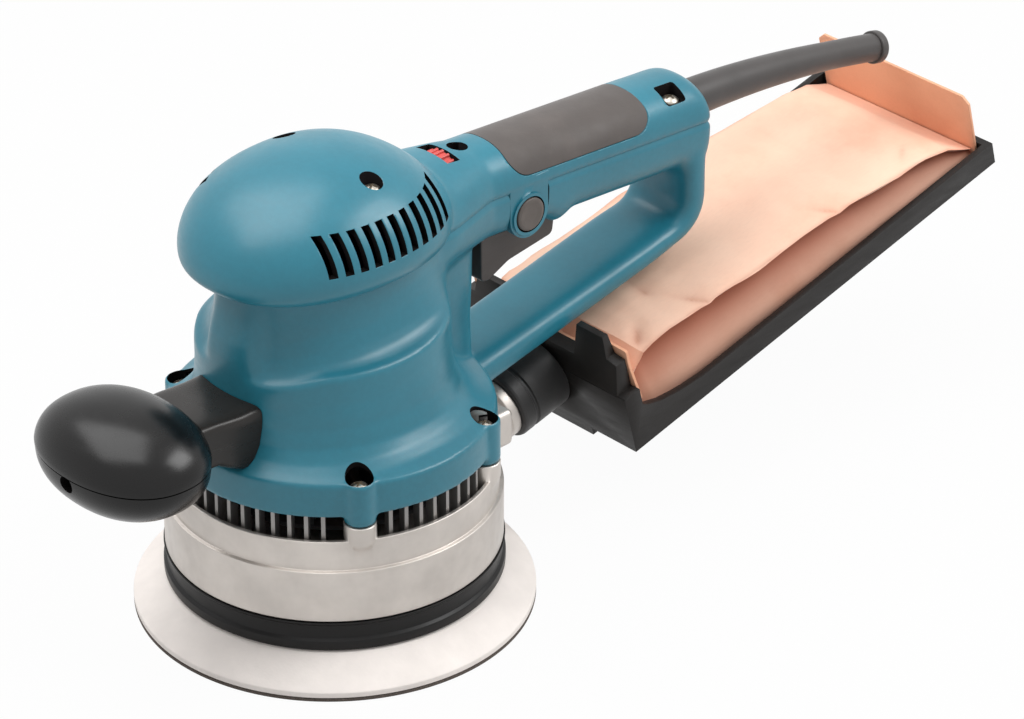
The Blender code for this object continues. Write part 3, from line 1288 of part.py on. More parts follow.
# ================================================================ motor
def fan(name, hub, radius, low, high, blades, finish, plate_low):
    """A plate with radial blades on one side."""
    plate_high = plate_low + FAN_PLATE
    boss = hub + FAN_HUB_WALL
    body = mesh_object(name, turned([
        (hub, min(low, plate_low)), (boss, min(low, plate_low)), (boss, plate_low),
        (radius, plate_low), (radius, plate_high), (boss, plate_high),
        (boss, max(high, plate_high)), (hub, max(high, plate_high))]), finish)
    vanes = []
    for i in range(blades):
        vane = block((boss + FAN_EYE, -FAN_BLADE / 2, min(low, plate_low + FAN_PLATE / 3)),
                     (radius - FAN_PLATE / 2, FAN_BLADE / 2, max(high, plate_low + FAN_PLATE / 3)))
        vanes.append(moved(vane, Matrix.Rotation(2 * math.pi * i / blades, 4, "Z")))
    join(body, merged(vanes))
    return body


def make_motor():
    shaft_low = ECCENTRIC_Z + ECCENTRIC_HEIGHT - 0.0040
    shaft_high = UPPER_BEARING_Z + UPPER_BEARING_WIDTH - 0.0010
    mesh_object("motor_shaft", tube(SHAFT_RADIUS, 0, shaft_low, shaft_high), "steel")
    bore = SHAFT_RADIUS + GAP
    bearing("lower_bearing", LOWER_BEARING_RADIUS, bore, LOWER_BEARING_Z + GAP,
            LOWER_BEARING_WIDTH)
    bearing("upper_bearing", UPPER_BEARING_RADIUS, bore, UPPER_BEARING_Z + GAP,
            UPPER_BEARING_WIDTH)

    dust_top = DECK_Z - DUST_FAN_CLEARANCE
    fan("dust_fan", ECCENTRIC_RADIUS + GAP, DUST_FAN_RADIUS, dust_top - DUST_FAN_HEIGHT, dust_top,
        DUST_FAN_BLADES, "cast_aluminium", dust_top - FAN_PLATE)
    cool_low = LOWER_BEARING_Z + LOWER_BEARING_WIDTH + 0.0025
    fan("cooling_fan", bore, COOLING_FAN_RADIUS, cool_low, cool_low + COOLING_FAN_HEIGHT,
        COOLING_FAN_BLADES, "switch_plastic", cool_low)

    rotor_low = ROTOR_Z
    rotor_high = rotor_low + ROTOR_LENGTH
    core = mesh_object("rotor_core", tube(ROTOR_RADIUS, bore, rotor_low, rotor_high, ROUND),
                       "core_steel")
    grooves = []
    for i in range(ROTOR_SLOTS):
        groove = block((ROTOR_RADIUS * 0.62, -0.0008, rotor_low - 0.01),
                       (ROTOR_RADIUS + 0.01, 0.0008, rotor_high + 0.01))
        grooves.append(moved(groove, Matrix.Rotation(2 * math.pi * i / ROTOR_SLOTS, 4, "Z")))
    cut(core, merged(grooves))
    lower = rotor_low - WINDING_HEIGHT - GAP
    for name, low in (("lower", lower), ("upper", rotor_high + GAP)):
        mesh_object(f"rotor_winding_{name}", turned([
            (bore, low), (ROTOR_RADIUS * 0.85, low), (ROTOR_RADIUS * 0.92, low + WINDING_HEIGHT / 2),
            (ROTOR_RADIUS * 0.85, low + WINDING_HEIGHT), (bore, low + WINDING_HEIGHT)],
            HIDDEN_ROUND), "copper")

    stator = mesh_object("stator_core", tube(
        STATOR_RADIUS, ROTOR_RADIUS + AIR_GAP, rotor_low, rotor_high, ROUND), "core_steel")
    for side in (-1, 1):
        flat = STATOR_RADIUS * 0.93
        cut(stator, block((min(side * flat, side * 0.06), -0.06, 0),
                          (max(side * flat, side * 0.06), 0.06, 0.2)))

    bars_low = COMMUTATOR_Z
    bars_high = bars_low + COMMUTATOR_LENGTH
    mesh_object("commutator", tube(
        COMMUTATOR_RADIUS, bore, bars_low, bars_high, COMMUTATOR_BARS), "copper")

    middle = (bars_low + bars_high) / 2
    half = BRUSH_WIDTH / 2
    for name, side in (("left", -1), ("right", 1)):
        start = COMMUTATOR_RADIUS + GAP
        brush = block((start, -half, middle - half), (start + 0.0120, half, middle + half))
        turn = Matrix.Rotation(0 if side > 0 else math.pi, 4, "Z")
        mesh_object(f"carbon_brush_{name}", moved(brush, turn), "carbon")
        outer = half + 0.0016
        holder_start = start + 0.0020
        holder = mesh_object(f"brush_holder_{name}", moved(block(
            (holder_start, -outer, middle - outer),
            (holder_start + BRUSH_HOLDER_LENGTH, outer, middle + outer)), turn), "brass")
        hollow = half + GAP
        cut(holder, moved(block((holder_start - 0.01, -hollow, middle - hollow),
                                (holder_start + BRUSH_HOLDER_LENGTH + 0.01, hollow,
                                 middle + hollow)), turn))


def make_electrics():
    """The switch over the trigger, the speed control under the dial and the cord's clamp."""
    low = TRIGGER_TOP_Z + TRIGGER_TRAVEL + 0.0012
    wall = HANDLE_HALF_WIDTH - HANDLE_WALL
    switch = mesh_object("switch", block(
        (-wall + GAP, TRIGGER_START + 0.002, low),
        (0.0098, TRIGGER_START + TRIGGER_LENGTH - 0.002, SEAM_Z - 0.0032)), "switch_plastic")
    round_edges(switch, 0.0006, 1)
    mesh_object("speed_controller", block(
        (-0.0095, DIAL_Y - 0.009, SEAM_Z - 0.0120),
        (0.0095, DIAL_Y + 0.009, DIAL_Z - DIAL_RADIUS - 0.0008)), "switch_plastic")
    centre, _ = guard_axis()[0]
    y = centre.y - 0.0170
    floor = seam_height(y) - HANDLE_DEPTH + HANDLE_FLOOR
    clamp = mesh_object("cord_clamp", block(
        (-0.0080, y, floor + GAP), (0.0080, y + 0.0070, centre.z - GUARD_BORE - GAP)),
        "switch_plastic")
    round_edges(clamp, 0.0006, 1)


# ================================================================ the whole sander
clear_scene()
make_pad()
make_orbit_drive()
make_skirt_ring()
make_fan_housing()
make_motor_housing()
make_top_cover()
make_controls()
make_screws()
make_front_grip()
make_cord_guard()
make_dust_holder()
make_motor()
make_electrics()
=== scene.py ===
"""Looks of the random-orbit sander: shells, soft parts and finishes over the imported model.
Metres, +Z up, in the model's own frame. The motor turns about the Z axis, the ball grip points
along -Y and the loop handle along +Y.
"""

import math

import bmesh
import bpy
import numpy as np
from mathutils import Matrix, Vector


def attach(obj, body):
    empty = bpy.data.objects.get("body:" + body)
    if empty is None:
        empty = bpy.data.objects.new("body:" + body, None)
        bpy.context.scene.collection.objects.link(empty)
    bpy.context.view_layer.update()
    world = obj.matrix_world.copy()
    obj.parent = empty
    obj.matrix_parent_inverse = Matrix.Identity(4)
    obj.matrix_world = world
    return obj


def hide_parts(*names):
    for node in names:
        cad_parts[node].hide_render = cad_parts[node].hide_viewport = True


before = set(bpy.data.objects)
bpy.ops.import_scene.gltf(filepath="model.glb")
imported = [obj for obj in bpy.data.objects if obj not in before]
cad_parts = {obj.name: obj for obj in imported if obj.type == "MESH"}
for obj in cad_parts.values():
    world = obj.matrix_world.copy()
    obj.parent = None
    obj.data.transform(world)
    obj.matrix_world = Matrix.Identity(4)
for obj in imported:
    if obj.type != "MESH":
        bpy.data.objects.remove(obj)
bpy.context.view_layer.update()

# ---------------------------------------------------------------- sizes shared with the model
GAP = 0.0003
SHELL = 0.0028
PAD_BASE_Z = 0.0015
PAD_TOP_Z = 0.0122
RING_Z = 0.0127
SKIRT_Z = 0.0245
STEP_Z = 0.0457
RIM_Z = 0.0577
FLANGE_Z = 0.0675
CREASE_LOW_Z = 0.0805
NECK_Z = 0.1145
SEAM_Z = 0.1455
DECK_Z = 0.0427
TRIGGER_TOP_Z = 0.1298
DIAL_Z = 0.1532
ORBIT = Vector((0.0019445, -0.0019445, 0))

PAD_RADIUS, PAD_HOLES, PAD_HOLE_CIRCLE, PAD_HOLE_RADIUS = 0.075, 6, 0.040, 0.005
PAD_BOLT_HOLE, PAD_RECESS, DISC_THICKNESS = 0.0038, 0.007, 0.0012
SKIRT_RADIUS = 0.063
FLANGE_RADIUS = 0.061
BOSS_X, BOSS_Y, BOSS_RADIUS, BOSS_DROP = 0.049, 0.0305, 0.0060, 0.0035
BASE_SEAT_Z = CREASE_LOW_Z - 0.0035     # where the heads of the base screws rest
BASE_POCKET, SCREW_HOLE = 0.0052, 0.0023
HEAD_RADIUS = 0.0036
VOXEL = 0.00085                         # cell of the remesh that blends the moulding
RIB_SET_BACK = 0.0012

BARREL = (0.0436, 0.0506, 0.0420)      # half width, front, rear
WAIST = (0.0322, 0.0450, 0.0460)
FLARE = ((0.0020, 0.62), (0.0050, 0.36), (0.0090, 0.17), (0.0160, 0.05), (0.0240, 0.0))
NECK = ((-0.0016, 0.0), (-0.0004, 0.06), (0.0006, 0.34), (0.0024, 0.58))
NECK_TOP = ((0.20, 0.78), (0.38, 0.94), (0.66, 1.02))      # as shares of the neck's height
NECK_LOW, NECK_CLIMB_SIDE, NECK_CLIMB_REAR = 0.1130, 0.0045, 0.0050
NOSE_EDGE, NOSE_BLEND = 0.0210, 0.0130      # the front of the neck stays full
EGG_POWER = 2.2

DOME_HALF_WIDTH, DOME_FRONT, DOME_REAR = 0.0435, 0.0523, 0.0500
DOME_CENTRE_Y, DOME_HEIGHT = -0.0050, 0.0400
DOME_SIDE_RISE, DOME_FRONT_RISE = 0.0100, 0.0055
DOME_SCREW_X, DOME_SCREW_Y, DOME_SCREW_DEPTH, DOME_SCREW_POCKET = 0.0233, 0.0006, 0.0048, 0.0042
SLOT_COUNT, SLOT_PITCH, SLOT_WIDTH, SLOT_START_Y = 11, 0.0058, 0.0032, -0.0310
SLOT_LOW, SLOT_HIGH = 0.0135, 0.0270

HANDLE_END, HANDLE_HALF_WIDTH, HANDLE_DEPTH, HANDLE_RISE = 0.1805, 0.0175, 0.0195, 0.0165
HANDLE_SEAM_FALL, HANDLE_LEVEL_TO = 0.075, 0.062
HANDLE_WALL, HANDLE_FLOOR = 0.0035, 0.0038
HANDLE_POWER = 2.3                      # squareness of the handle above the seam
HANDLE_LOW_POWER = 3.6                  # the same below it
ROOT_WIDER, ROOT_HIGHER, ROOT_REACH = 0.0075, 0.0030, 0.026     # where it leaves the barrel
RIDGE_Y, RIDGE_DEPTH, RIDGE_REACH = 0.1020, 0.0036, 0.008
BAR_POWER, BAR_DEPTH_POWER, BAR_SLOPE = 4.2, 3.0, 0.86
BAR_HALF_WIDTH, BAR_FRONT_Y, BAR_FRONT_Z = 0.0160, 0.040, 0.0665
BAR_FRONT_THICKNESS, BAR_REAR_THICKNESS = 0.0140, 0.0104
WEB_END, COLUMN_Y, COLUMN_THICKNESS, COLUMN_CORNER = 0.0620, 0.1795, 0.0125, 0.0135
COLUMN_HALF_WIDTH = 0.0172
DUST_TILT = math.radians(14.1)

GRIP_START, GRIP_END, GRIP_THICKNESS, GRIP_LOW = 0.0760, 0.1480, 0.0020, 0.0050
TRIGGER_START, TRIGGER_LENGTH, TRIGGER_HALF_WIDTH = 0.0650, 0.0385, 0.0110
TRIGGER_FRONT_DEPTH, TRIGGER_REAR_DEPTH = 0.0180, 0.0105
LOCK_Y, LOCK_DROP, LOCK_RADIUS, LOCK_PROUD, LOCK_LIP = 0.0836, 0.0108, 0.0066, 0.0010, 0.0018
LOBE_RADIUS, LOCK_TRAVEL = 0.0096, 0.0020
LOBE_INNER = HANDLE_HALF_WIDTH - SHELL - 0.0015
DIAL_Y, DIAL_RADIUS, DIAL_WIDTH, DIAL_RIBS, DIAL_SLOT_HALF = 0.0540, 0.0100, 0.0050, 20, 0.0085
HANDLE_SCREW_FRONT_Y, HANDLE_SCREW_REAR_Y, HANDLE_SCREW_REAR_X = 0.0635, 0.1640, 0.0095
HANDLE_SCREW_POCKET = 0.0040
HANDLE_SEATS = ((Vector((0, HANDLE_SCREW_FRONT_Y, 0)), 0.0080),
                (Vector((HANDLE_SCREW_REAR_X, HANDLE_SCREW_REAR_Y, 0)), 0.0095))

ARM_HALF_WIDTH, ARM_LOW, ARM_HIGH, ARM_SQUARE = 0.0175, 0.0800, 0.1050, 0.26
KNOB_Y, KNOB_Z = -0.0980, 0.0990
KNOB_HALF, KNOB_POWER = (0.0358, 0.0264, 0.0198), 2.15
KNOB_PART_Z = 0.0010                   # parting line above the middle
KNOB_BOLT_RADIUS, KNOB_BOLT_Z = 0.0030, KNOB_Z - 0.002

GUARD_BASE_RADIUS, GUARD_TIP_RADIUS, GUARD_FLANGE_RADIUS = 0.0078, 0.0056, 0.0066
GUARD_BORE, GUARD_COLLAR_RADIUS, GUARD_LENGTH, GUARD_DROP = 0.0037, 0.0105, 0.1105, 0.0150
GUARD_START_Y, GUARD_ROOT_Z = 0.1790, 0.1372

NOZZLE_RADIUS, NOZZLE_BORE, NOZZLE_COLLAR = 0.0110, 0.0085, 0.0125
NOZZLE_END_Y, NOZZLE_END_Z = 0.084, 0.043
SPIGOT_RADIUS, SPIGOT_LENGTH, SLEEVE_RADIUS = 0.0100, 0.0160, 0.0145
TRAY_FRONT_Y, TRAY_FRONT_Z, TRAY_LENGTH, TRAY_HALF_WIDTH = 0.1120, 0.0308, 0.2060, 0.0460
TRAY_WALL, TRAY_FLOOR, TRAY_SIDE_HIGH, TRAY_SIDE_LOW = 0.0030, 0.0025, 0.0200, 0.0100
TRAY_HORN_HEIGHT, TRAY_HORN_OUTER, TRAY_HORN_INNER = 0.0478, 0.0340, 0.0200
TRAY_SHOULDER_HEIGHT, TRAY_SHOULDER_HALF = 0.0385, 0.0412
TRAY_FACE_LEAN, TRAY_SHELF = 0.0052, 0.0078
CARD_THICKNESS, CARD_HALF_WIDTH, CARD_HEIGHT = 0.0012, 0.0418, 0.0420
CARD_START = TRAY_SHELF + 0.0006
BAG_START, BAG_STOP = CARD_START + CARD_THICKNESS + 0.0004, 0.2010
BAG_HALF_WIDTH, BAG_TUCK = 0.0386, 0.0090
FLAP_HALF_WIDTH, FLAP_HEIGHT = 0.0405, 0.0325

STRAIGHT = math.radians(176)            # corners flatter than this stay as they are
SIDE_ON = Matrix(((0, 0, 1, 0), (1, 0, 0, 0), (0, 1, 0, 0), (0, 0, 0, 1)))
LIE_DOWN = Matrix.Rotation(-math.pi / 2, 4, "X")        # turns +Z to +Y
STAND_UP = Matrix.Rotation(math.pi / 2, 4, "X")         # turns +Y to +Z
FACE_X = Matrix.Rotation(math.pi / 2, 4, "Y")           # turns +Z to +X
DUST_TURN = Matrix.Rotation(DUST_TILT, 4, "X")
NOZZLE_PLACE = Matrix.Translation((0, NOZZLE_END_Y, NOZZLE_END_Z)) @ DUST_TURN @ LIE_DOWN
TRAY_PLACE = Matrix.Translation((0, TRAY_FRONT_Y, TRAY_FRONT_Z)) @ DUST_TURN

CAMERA_TURN, CAMERA_RISE, CAMERA_ROLL = 46.5, 30.55, -0.09      # degrees
CAMERA_ACROSS, CAMERA_UP, CAMERA_BACK = 0.06587, 0.08393, 1.869
CAMERA_LENS, CAMERA_SENSOR, CAMERA_REACH = 175.78, 36, 20       # the first two in millimetres
FLOOR_HALF, FLOOR_Z, FLOOR_SHADE, FLOOR_WHITE = 6, -0.0002, 0.62, 0.96
WORLD_STRENGTH = 0.42


# ================================================================ camera
def in_scene(name, data):
    """A new object in the scene's own collection."""
    made = bpy.data.objects.new(name, data)
    bpy.context.scene.collection.objects.link(made)
    return made


def place_camera():
    turn, rise, roll = (math.radians(a) for a in (CAMERA_TURN, CAMERA_RISE, CAMERA_ROLL))
    ahead = Vector((-math.sin(turn) * math.cos(rise), math.cos(turn) * math.cos(rise),
                    -math.sin(rise)))
    right = Vector((math.cos(turn), math.sin(turn), 0))
    up = right.cross(ahead)
    across = right * math.cos(roll) + up * math.sin(roll)
    upward = up * math.cos(roll) - right * math.sin(roll)
    data = bpy.data.cameras.new("camera")
    data.lens = CAMERA_LENS
    data.sensor_width = CAMERA_SENSOR
    data.clip_end = CAMERA_REACH
    camera = in_scene("camera", data)
    spot = across * CAMERA_ACROSS + upward * CAMERA_UP - ahead * CAMERA_BACK
    camera.matrix_world = (Matrix.Translation(spot)
                           @ Matrix((across, upward, -ahead)).transposed().to_4x4())
    bpy.context.scene.camera = camera


place_camera()


# ================================================================ node helpers
class Nodes:
    """A node tree under construction."""

    def __init__(self, tree):
        self.tree = tree

    def link(self, source, target):
        self.tree.links.new(source, target)

    def feed(self, socket, value):
        """Links another node's output to an input, or sets the input to a plain value."""
        if isinstance(value, bpy.types.NodeSocket):
            self.link(value, socket)
        else:
            socket.default_value = value

    def node(self, kind, **settings):
        """A new node: names in small letters are its settings, the others its inputs."""
        made = self.tree.nodes.new(kind)
        for name, value in settings.items():
            if name[0].islower():
                setattr(made, name, value)
            else:
                self.feed(made.inputs[name.replace("_", " ")], value)
        return made

    def maths(self, operation, first, second):
        made = self.node("ShaderNodeMath", operation=operation)
        self.feed(made.inputs[0], first)
        self.feed(made.inputs[1], second)
        return made.outputs[0]


class Finish(Nodes):
    """A material: short calls for the nodes that the finishes share."""

    def __init__(self, name, colour, roughness, metallic=0.0, **shader):
        self.material = bpy.data.materials.new(name)
        self.material.use_nodes = True
        super().__init__(self.material.node_tree)
        self.shader = self.tree.nodes["Principled BSDF"]
        self.shader.inputs["Base Color"].default_value = (*colour, 1)
        self.shader.inputs["Roughness"].default_value = roughness
        self.shader.inputs["Metallic"].default_value = metallic
        for socket, value in shader.items():
            self.shader.inputs[socket.replace("_", " ")].default_value = value
        self.place = self.node("ShaderNodeTexCoord").outputs["Object"]
        self.bumped = None

    def mapped(self, scale):
        return self.node("ShaderNodeMapping", Scale=scale, Vector=self.place).outputs["Vector"]

    def noise(self, scale, detail, rough=0.5, vector=None):
        return self.node("ShaderNodeTexNoise", Scale=scale, Detail=detail, Roughness=rough,
                         Vector=vector or self.place).outputs["Fac"]

    def ramp(self, source, *stops):
        """Maps a value to values or colours at the given places."""
        node = self.node("ShaderNodeValToRGB")
        points = node.color_ramp.elements
        while len(points) < len(stops):
            points.new(0.5)
        for point, (place, shade) in zip(points, stops):
            point.position = place
            if not isinstance(shade, tuple):
                shade = (shade, shade, shade)
            point.color = (*shade[:3], 1)
        self.link(source, node.inputs["Fac"])
        return node.outputs["Color"]

    def mixed(self, share, first, second):
        node = self.node("ShaderNodeMix", data_type="RGBA")
        for socket, value in ((0, share), (6, first), (7, second)):
            self.feed(node.inputs[socket], (*value[:3], 1) if isinstance(value, tuple) else value)
        return node.outputs[2]

    def attribute(self, name):
        return self.node("ShaderNodeAttribute", attribute_name=name).outputs["Fac"]

    def paint(self, colour):
        self.link(colour, self.shader.inputs["Base Color"])

    def gloss(self, value):
        self.link(value, self.shader.inputs["Roughness"])

    def bump(self, height, depth, strength):
        node = self.node("ShaderNodeBump", Strength=strength, Distance=depth, Height=height)
        if self.bumped is not None:
            self.link(self.bumped, node.inputs["Normal"])
        self.bumped = node.outputs["Normal"]
        self.link(self.bumped, self.shader.inputs["Normal"])


def shade(colour, factor):
    return tuple(min(1.0, c * factor) for c in colour)


def moulded(name, colour, roughness, grain=0.00006, drift=0.10, **shader):
    """Moulded plastic: a fine spark-eroded grain, slow drift of tone and gloss, faint scuffs."""
    f = Finish(name, colour, roughness, **shader)
    cloud = f.noise(22, 2, 0.5)
    speck = f.noise(420, 2, 0.6)
    tone = f.ramp(cloud, (0.30, shade(colour, 1 - drift)), (0.70, shade(colour, 1 + drift)))
    tone = f.mixed(f.ramp(speck, (0.42, 0.0), (0.62, 0.10)), tone, shade(colour, 1.5))
    f.paint(tone)
    scuff = f.noise(60, 5, 0.7, f.mapped((1, 1, 5)))
    f.gloss(f.ramp(scuff, (0.35, roughness * 0.86), (0.75, min(1, roughness * 1.22))))
    f.bump(f.noise(1900, 2, 0.5), grain, 0.35)
    return f


def rubber(name, colour, roughness, grain=0.00010):
    """Soft overmould: matt, slightly dusty, with a leathery grain."""
    f = Finish(name, colour, roughness, Sheen_Weight=0.25, Sheen_Roughness=0.5)
    dust = f.noise(35, 4, 0.6)
    f.paint(f.ramp(dust, (0.30, shade(colour, 0.82)), (0.55, colour), (0.80, shade(colour, 1.45))))
    f.gloss(f.ramp(f.noise(90, 3), (0.3, roughness - 0.08), (0.7, min(1, roughness + 0.08))))
    f.bump(f.noise(1400, 3, 0.6), grain, 0.5)
    f.bump(f.noise(260, 2, 0.5), grain * 1.5, 0.25)
    return f


def metal(name, colour, roughness, metallic=1.0, lines=(0, 0, 0), grain=0.00004, **shader):
    """Machined or cast metal; lines gives the stretch of its tool marks on each axis."""
    f = Finish(name, colour, roughness, metallic, **shader)
    cloud = f.noise(40, 4, 0.6)
    f.paint(f.ramp(cloud, (0.30, shade(colour, 0.86)), (0.70, shade(colour, 1.10))))
    f.gloss(f.ramp(f.noise(130, 4, 0.6), (0.3, roughness * 0.8), (0.7, roughness * 1.25)))
    if any(lines):
        f.bump(f.noise(1.0, 3, 0.6, f.mapped(lines)), grain, 0.4)
    else:
        f.bump(f.noise(1500, 3, 0.6), grain, 0.4)
    return f


TEAL = (0.018, 0.180, 0.250)
PALE = (0.94, 0.875, 0.83)
finishes = {}


def make_finishes():
    for key, kind, name, colour, roughness, look in (
            ("teal", moulded, "moulded teal", TEAL, 0.36,
             {"Coat_Weight": 0.15, "Coat_Roughness": 0.25}),
            # inner: near black for cut walls, holes, slot sides and the insides of the shells,
            # painted shade in place of the parts' own colour
            ("inner", moulded, "inside of the shell", (0.005, 0.004, 0.004), 0.9,
             {"Specular_IOR_Level": 0.1}),
            ("grip", rubber, "overmoulded grip", (0.075, 0.062, 0.056), 0.62, {}),
            ("knob", moulded, "polished black", (0.003, 0.0027, 0.0027), 0.26,
             {"grain": 0.00002, "Specular_IOR_Level": 0.35}),
            ("arm", moulded, "arm black", (0.016, 0.013, 0.011), 0.30,
             {"Specular_IOR_Level": 0.35}),
            ("trigger", moulded, "trigger brown black", (0.040, 0.032, 0.029), 0.42, {}),
            ("button", moulded, "button grey", (0.105, 0.088, 0.078), 0.50, {}),
            ("dial", moulded, "dial red", (0.62, 0.085, 0.075), 0.38, {"drift": 0.06}),
            ("guard", rubber, "cord guard rubber", (0.040, 0.034, 0.032), 0.50,
             {"grain": 0.00005}),
            ("ring", moulded, "skirt ring black", (0.005, 0.0045, 0.0045), 0.40,
             {"Specular_IOR_Level": 0.25}),
            # rib: the fan housing's aluminium darkened for the ribs set back behind the rim,
            # painted shade
            ("rib", metal, "cast in the shade", (0.30, 0.29, 0.28), 0.42, {"metallic": 0.8}),
            ("holder", moulded, "holder black", (0.014, 0.012, 0.011), 0.46,
             {"grain": 0.0001, "Specular_IOR_Level": 0.25}),
            ("sleeve", rubber, "sleeve rubber", (0.010, 0.009, 0.009), 0.54,
             {"grain": 0.00005}),
            ("switch", moulded, "switch grey", (0.050, 0.050, 0.052), 0.50, {}),
            ("cast", metal, "turned aluminium", (0.60, 0.555, 0.515), 0.42,
             {"metallic": 0.75, "lines": (30, 30, 5200), "grain": 0.00002}),
            ("steel", metal, "bright steel", (0.55, 0.54, 0.52), 0.30, {}),
            ("screw", metal, "screw steel", (0.50, 0.46, 0.40), 0.32, {}),
            ("core", metal, "laminations", (0.33, 0.32, 0.31), 0.45,
             {"lines": (20, 20, 3000), "grain": 0.0001}),
            ("copper", metal, "copper wire", (0.72, 0.33, 0.15), 0.32,
             {"lines": (300, 300, 2500), "grain": 0.0002}),
            ("brass", metal, "brass", (0.70, 0.52, 0.22), 0.28, {}),
            ("carbon", moulded, "carbon", (0.035, 0.035, 0.037), 0.6, {})):
        finishes[key] = kind(name, colour, roughness, **look)
    make_foam()
    make_abrasive()
    make_paper()


def make_foam():
    f = Finish("pad foam", PALE, 0.78)
    f.paint(f.ramp(f.noise(45, 4, 0.6), (0.3, shade(PALE, 0.93)), (0.7, shade(PALE, 1.05))))
    f.bump(f.noise(900, 3, 0.6), 0.00012, 0.5)
    finishes["foam"] = f


def make_abrasive():
    colour = (0.13, 0.105, 0.090)
    f = Finish("abrasive grit", colour, 0.9)
    grit = f.noise(3200, 2, 0.7)
    f.paint(f.ramp(grit, (0.35, shade(colour, 0.5)), (0.6, colour), (0.75, shade(colour, 2.4))))
    f.bump(grit, 0.0003, 0.9)
    finishes["abrasive"] = f


def make_paper():
    """Bag paper and card: fibres, soft cockling, painted shade along the folds and in the creases,
    and a deep painted shade in the tucks.
    """
    # deep: the dark colour that the painted shade of the tucks, folds and creases mixes towards
    for name, colour, deep, depth in (
            ("paper", (0.97, 0.62, 0.46), (0.36, 0.080, 0.028), 0.00022),
            ("card", (0.90, 0.46, 0.28), (0.46, 0.16, 0.07), 0.00010)):
        f = Finish(f"bag {name}", colour, 0.70, Sheen_Weight=0.10)
        fibre = f.noise(900, 4, 0.7, f.mapped((1, 0.25, 1)))
        cloud = f.noise(24, 5, 0.62)
        dull, bright = (tuple(c * k for c, k in zip(colour, change))
                        for change in ((0.93, 0.84, 0.80), (1.03, 1.08, 1.10)))
        tone = f.ramp(cloud, (0.30, dull), (0.50, colour), (0.72, bright))
        tone = f.mixed(f.ramp(fibre, (0.45, 0.0), (0.75, 0.13)), tone, shade(colour, 0.66))
        # painted shade: the gusset under the overhanging fold darkened towards the deep tone
        tone = f.mixed(f.maths("MULTIPLY", f.attribute("tuck_shade"), 0.92), tone, deep)
        # painted shade along the fold edge and in the creases, in patches
        patches = f.ramp(f.noise(70, 3), (0.3, 0.4), (0.7, 1.0))
        crease_shade = f.maths("MULTIPLY", f.attribute("fold"), patches)
        tone = f.mixed(crease_shade, tone, shade(deep, 1.3))
        f.paint(tone)
        f.gloss(f.ramp(cloud, (0.3, 0.62), (0.7, 0.78)))
        f.bump(fibre, 0.00004, 0.4)
        f.bump(f.noise(60, 4, 0.55), depth, 0.6)
        finishes[name] = f


make_finishes()


# ================================================================ mesh helpers
def as_object(name, shape, finish, angle=35):
    """A bmesh as an object with outward faces, smooth but for its sharp edges."""
    bmesh.ops.remove_doubles(shape, verts=shape.verts, dist=1e-6)
    bmesh.ops.recalc_face_normals(shape, faces=shape.faces)
    mesh = bpy.data.meshes.new(name)
    shape.to_mesh(mesh)
    shape.free()
    made = in_scene(name, mesh)
    mesh.materials.append(finishes[finish].material)
    soften(made, angle)
    return made


def soften(target, angle):
    target.data.shade_smooth()
    target.data.set_sharp_from_angle(angle=math.radians(angle))


def bake(target):
    """Applies the modifiers, so that a plain mesh is left."""
    graph = bpy.context.evaluated_depsgraph_get()
    mesh = bpy.data.meshes.new_from_object(target.evaluated_get(graph))
    old = target.data
    target.modifiers.clear()
    target.data = mesh
    mesh.name = target.name
    if old.users == 0:
        bpy.data.meshes.remove(old)


def remove(obj):
    mesh = obj.data
    bpy.data.objects.remove(obj, do_unlink=True)
    if mesh.users == 0:
        bpy.data.meshes.remove(mesh)


def carve(target, shape, operation="DIFFERENCE", finish="inner"):
    """A Boolean with a bmesh or an object that is used up. New faces take the tool's finish, by
    default the near-black inner one, which paints shade on cut walls.
    """
    tool = shape if isinstance(shape, bpy.types.Object) else as_object("tool", shape, finish)
    step = target.modifiers.new("carve", "BOOLEAN")
    step.operation = operation
    step.solver = "MANIFOLD"
    step.material_mode = "TRANSFER"
    step.object = tool
    bake(target)
    remove(tool)


def around(count, shift=0.0):
    """The angles of even steps round a full turn."""
    return [2 * math.pi * (i + shift) / count for i in range(count)]


def fuller(wave, exponent):
    """A sine or cosine pushed outwards, which makes a round squarer."""
    return math.copysign(abs(wave) ** exponent, wave)


def mirrored(side):
    """A closed outline from its +X side."""
    return side + [(-x, *rest) for x, *rest in reversed(side)]


def skin(sections):
    """A bmesh through sections with equal point counts, capped at both ends."""
    shape = bmesh.new()
    rings = [[shape.verts.new(point) for point in section] for section in sections]
    for low, high in zip(rings, rings[1:]):
        for i in range(len(low)):
            after = (i + 1) % len(low)
            shape.faces.new((low[i], low[after], high[after], high[i]))
    shape.faces.new(reversed(rings[0]))
    shape.faces.new(rings[-1])
    return shape


def turned(profile, sides, axis=Vector((0, 0, 0))):
    """Spins a closed outline of (radius, height) points about a vertical axis."""
    shape = bmesh.new()
    columns = []
    for radius, height in profile:
        if radius < 1e-7:
            columns.append([shape.verts.new(axis + Vector((0, 0, height)))])
            continue
        columns.append([
            shape.verts.new(axis + Vector((radius * math.cos(a), radius * math.sin(a), height)))
            for a in around(sides)])
    for here, there in zip(columns, columns[1:] + columns[:1]):
        for i in range(sides):
            after = (i + 1) % sides
            corners = [here[i % len(here)], here[after % len(here)],
                       there[after % len(there)], there[i % len(there)]]
            corners = list(dict.fromkeys(corners))
            if len(corners) > 2:
                shape.faces.new(corners)
    return shape


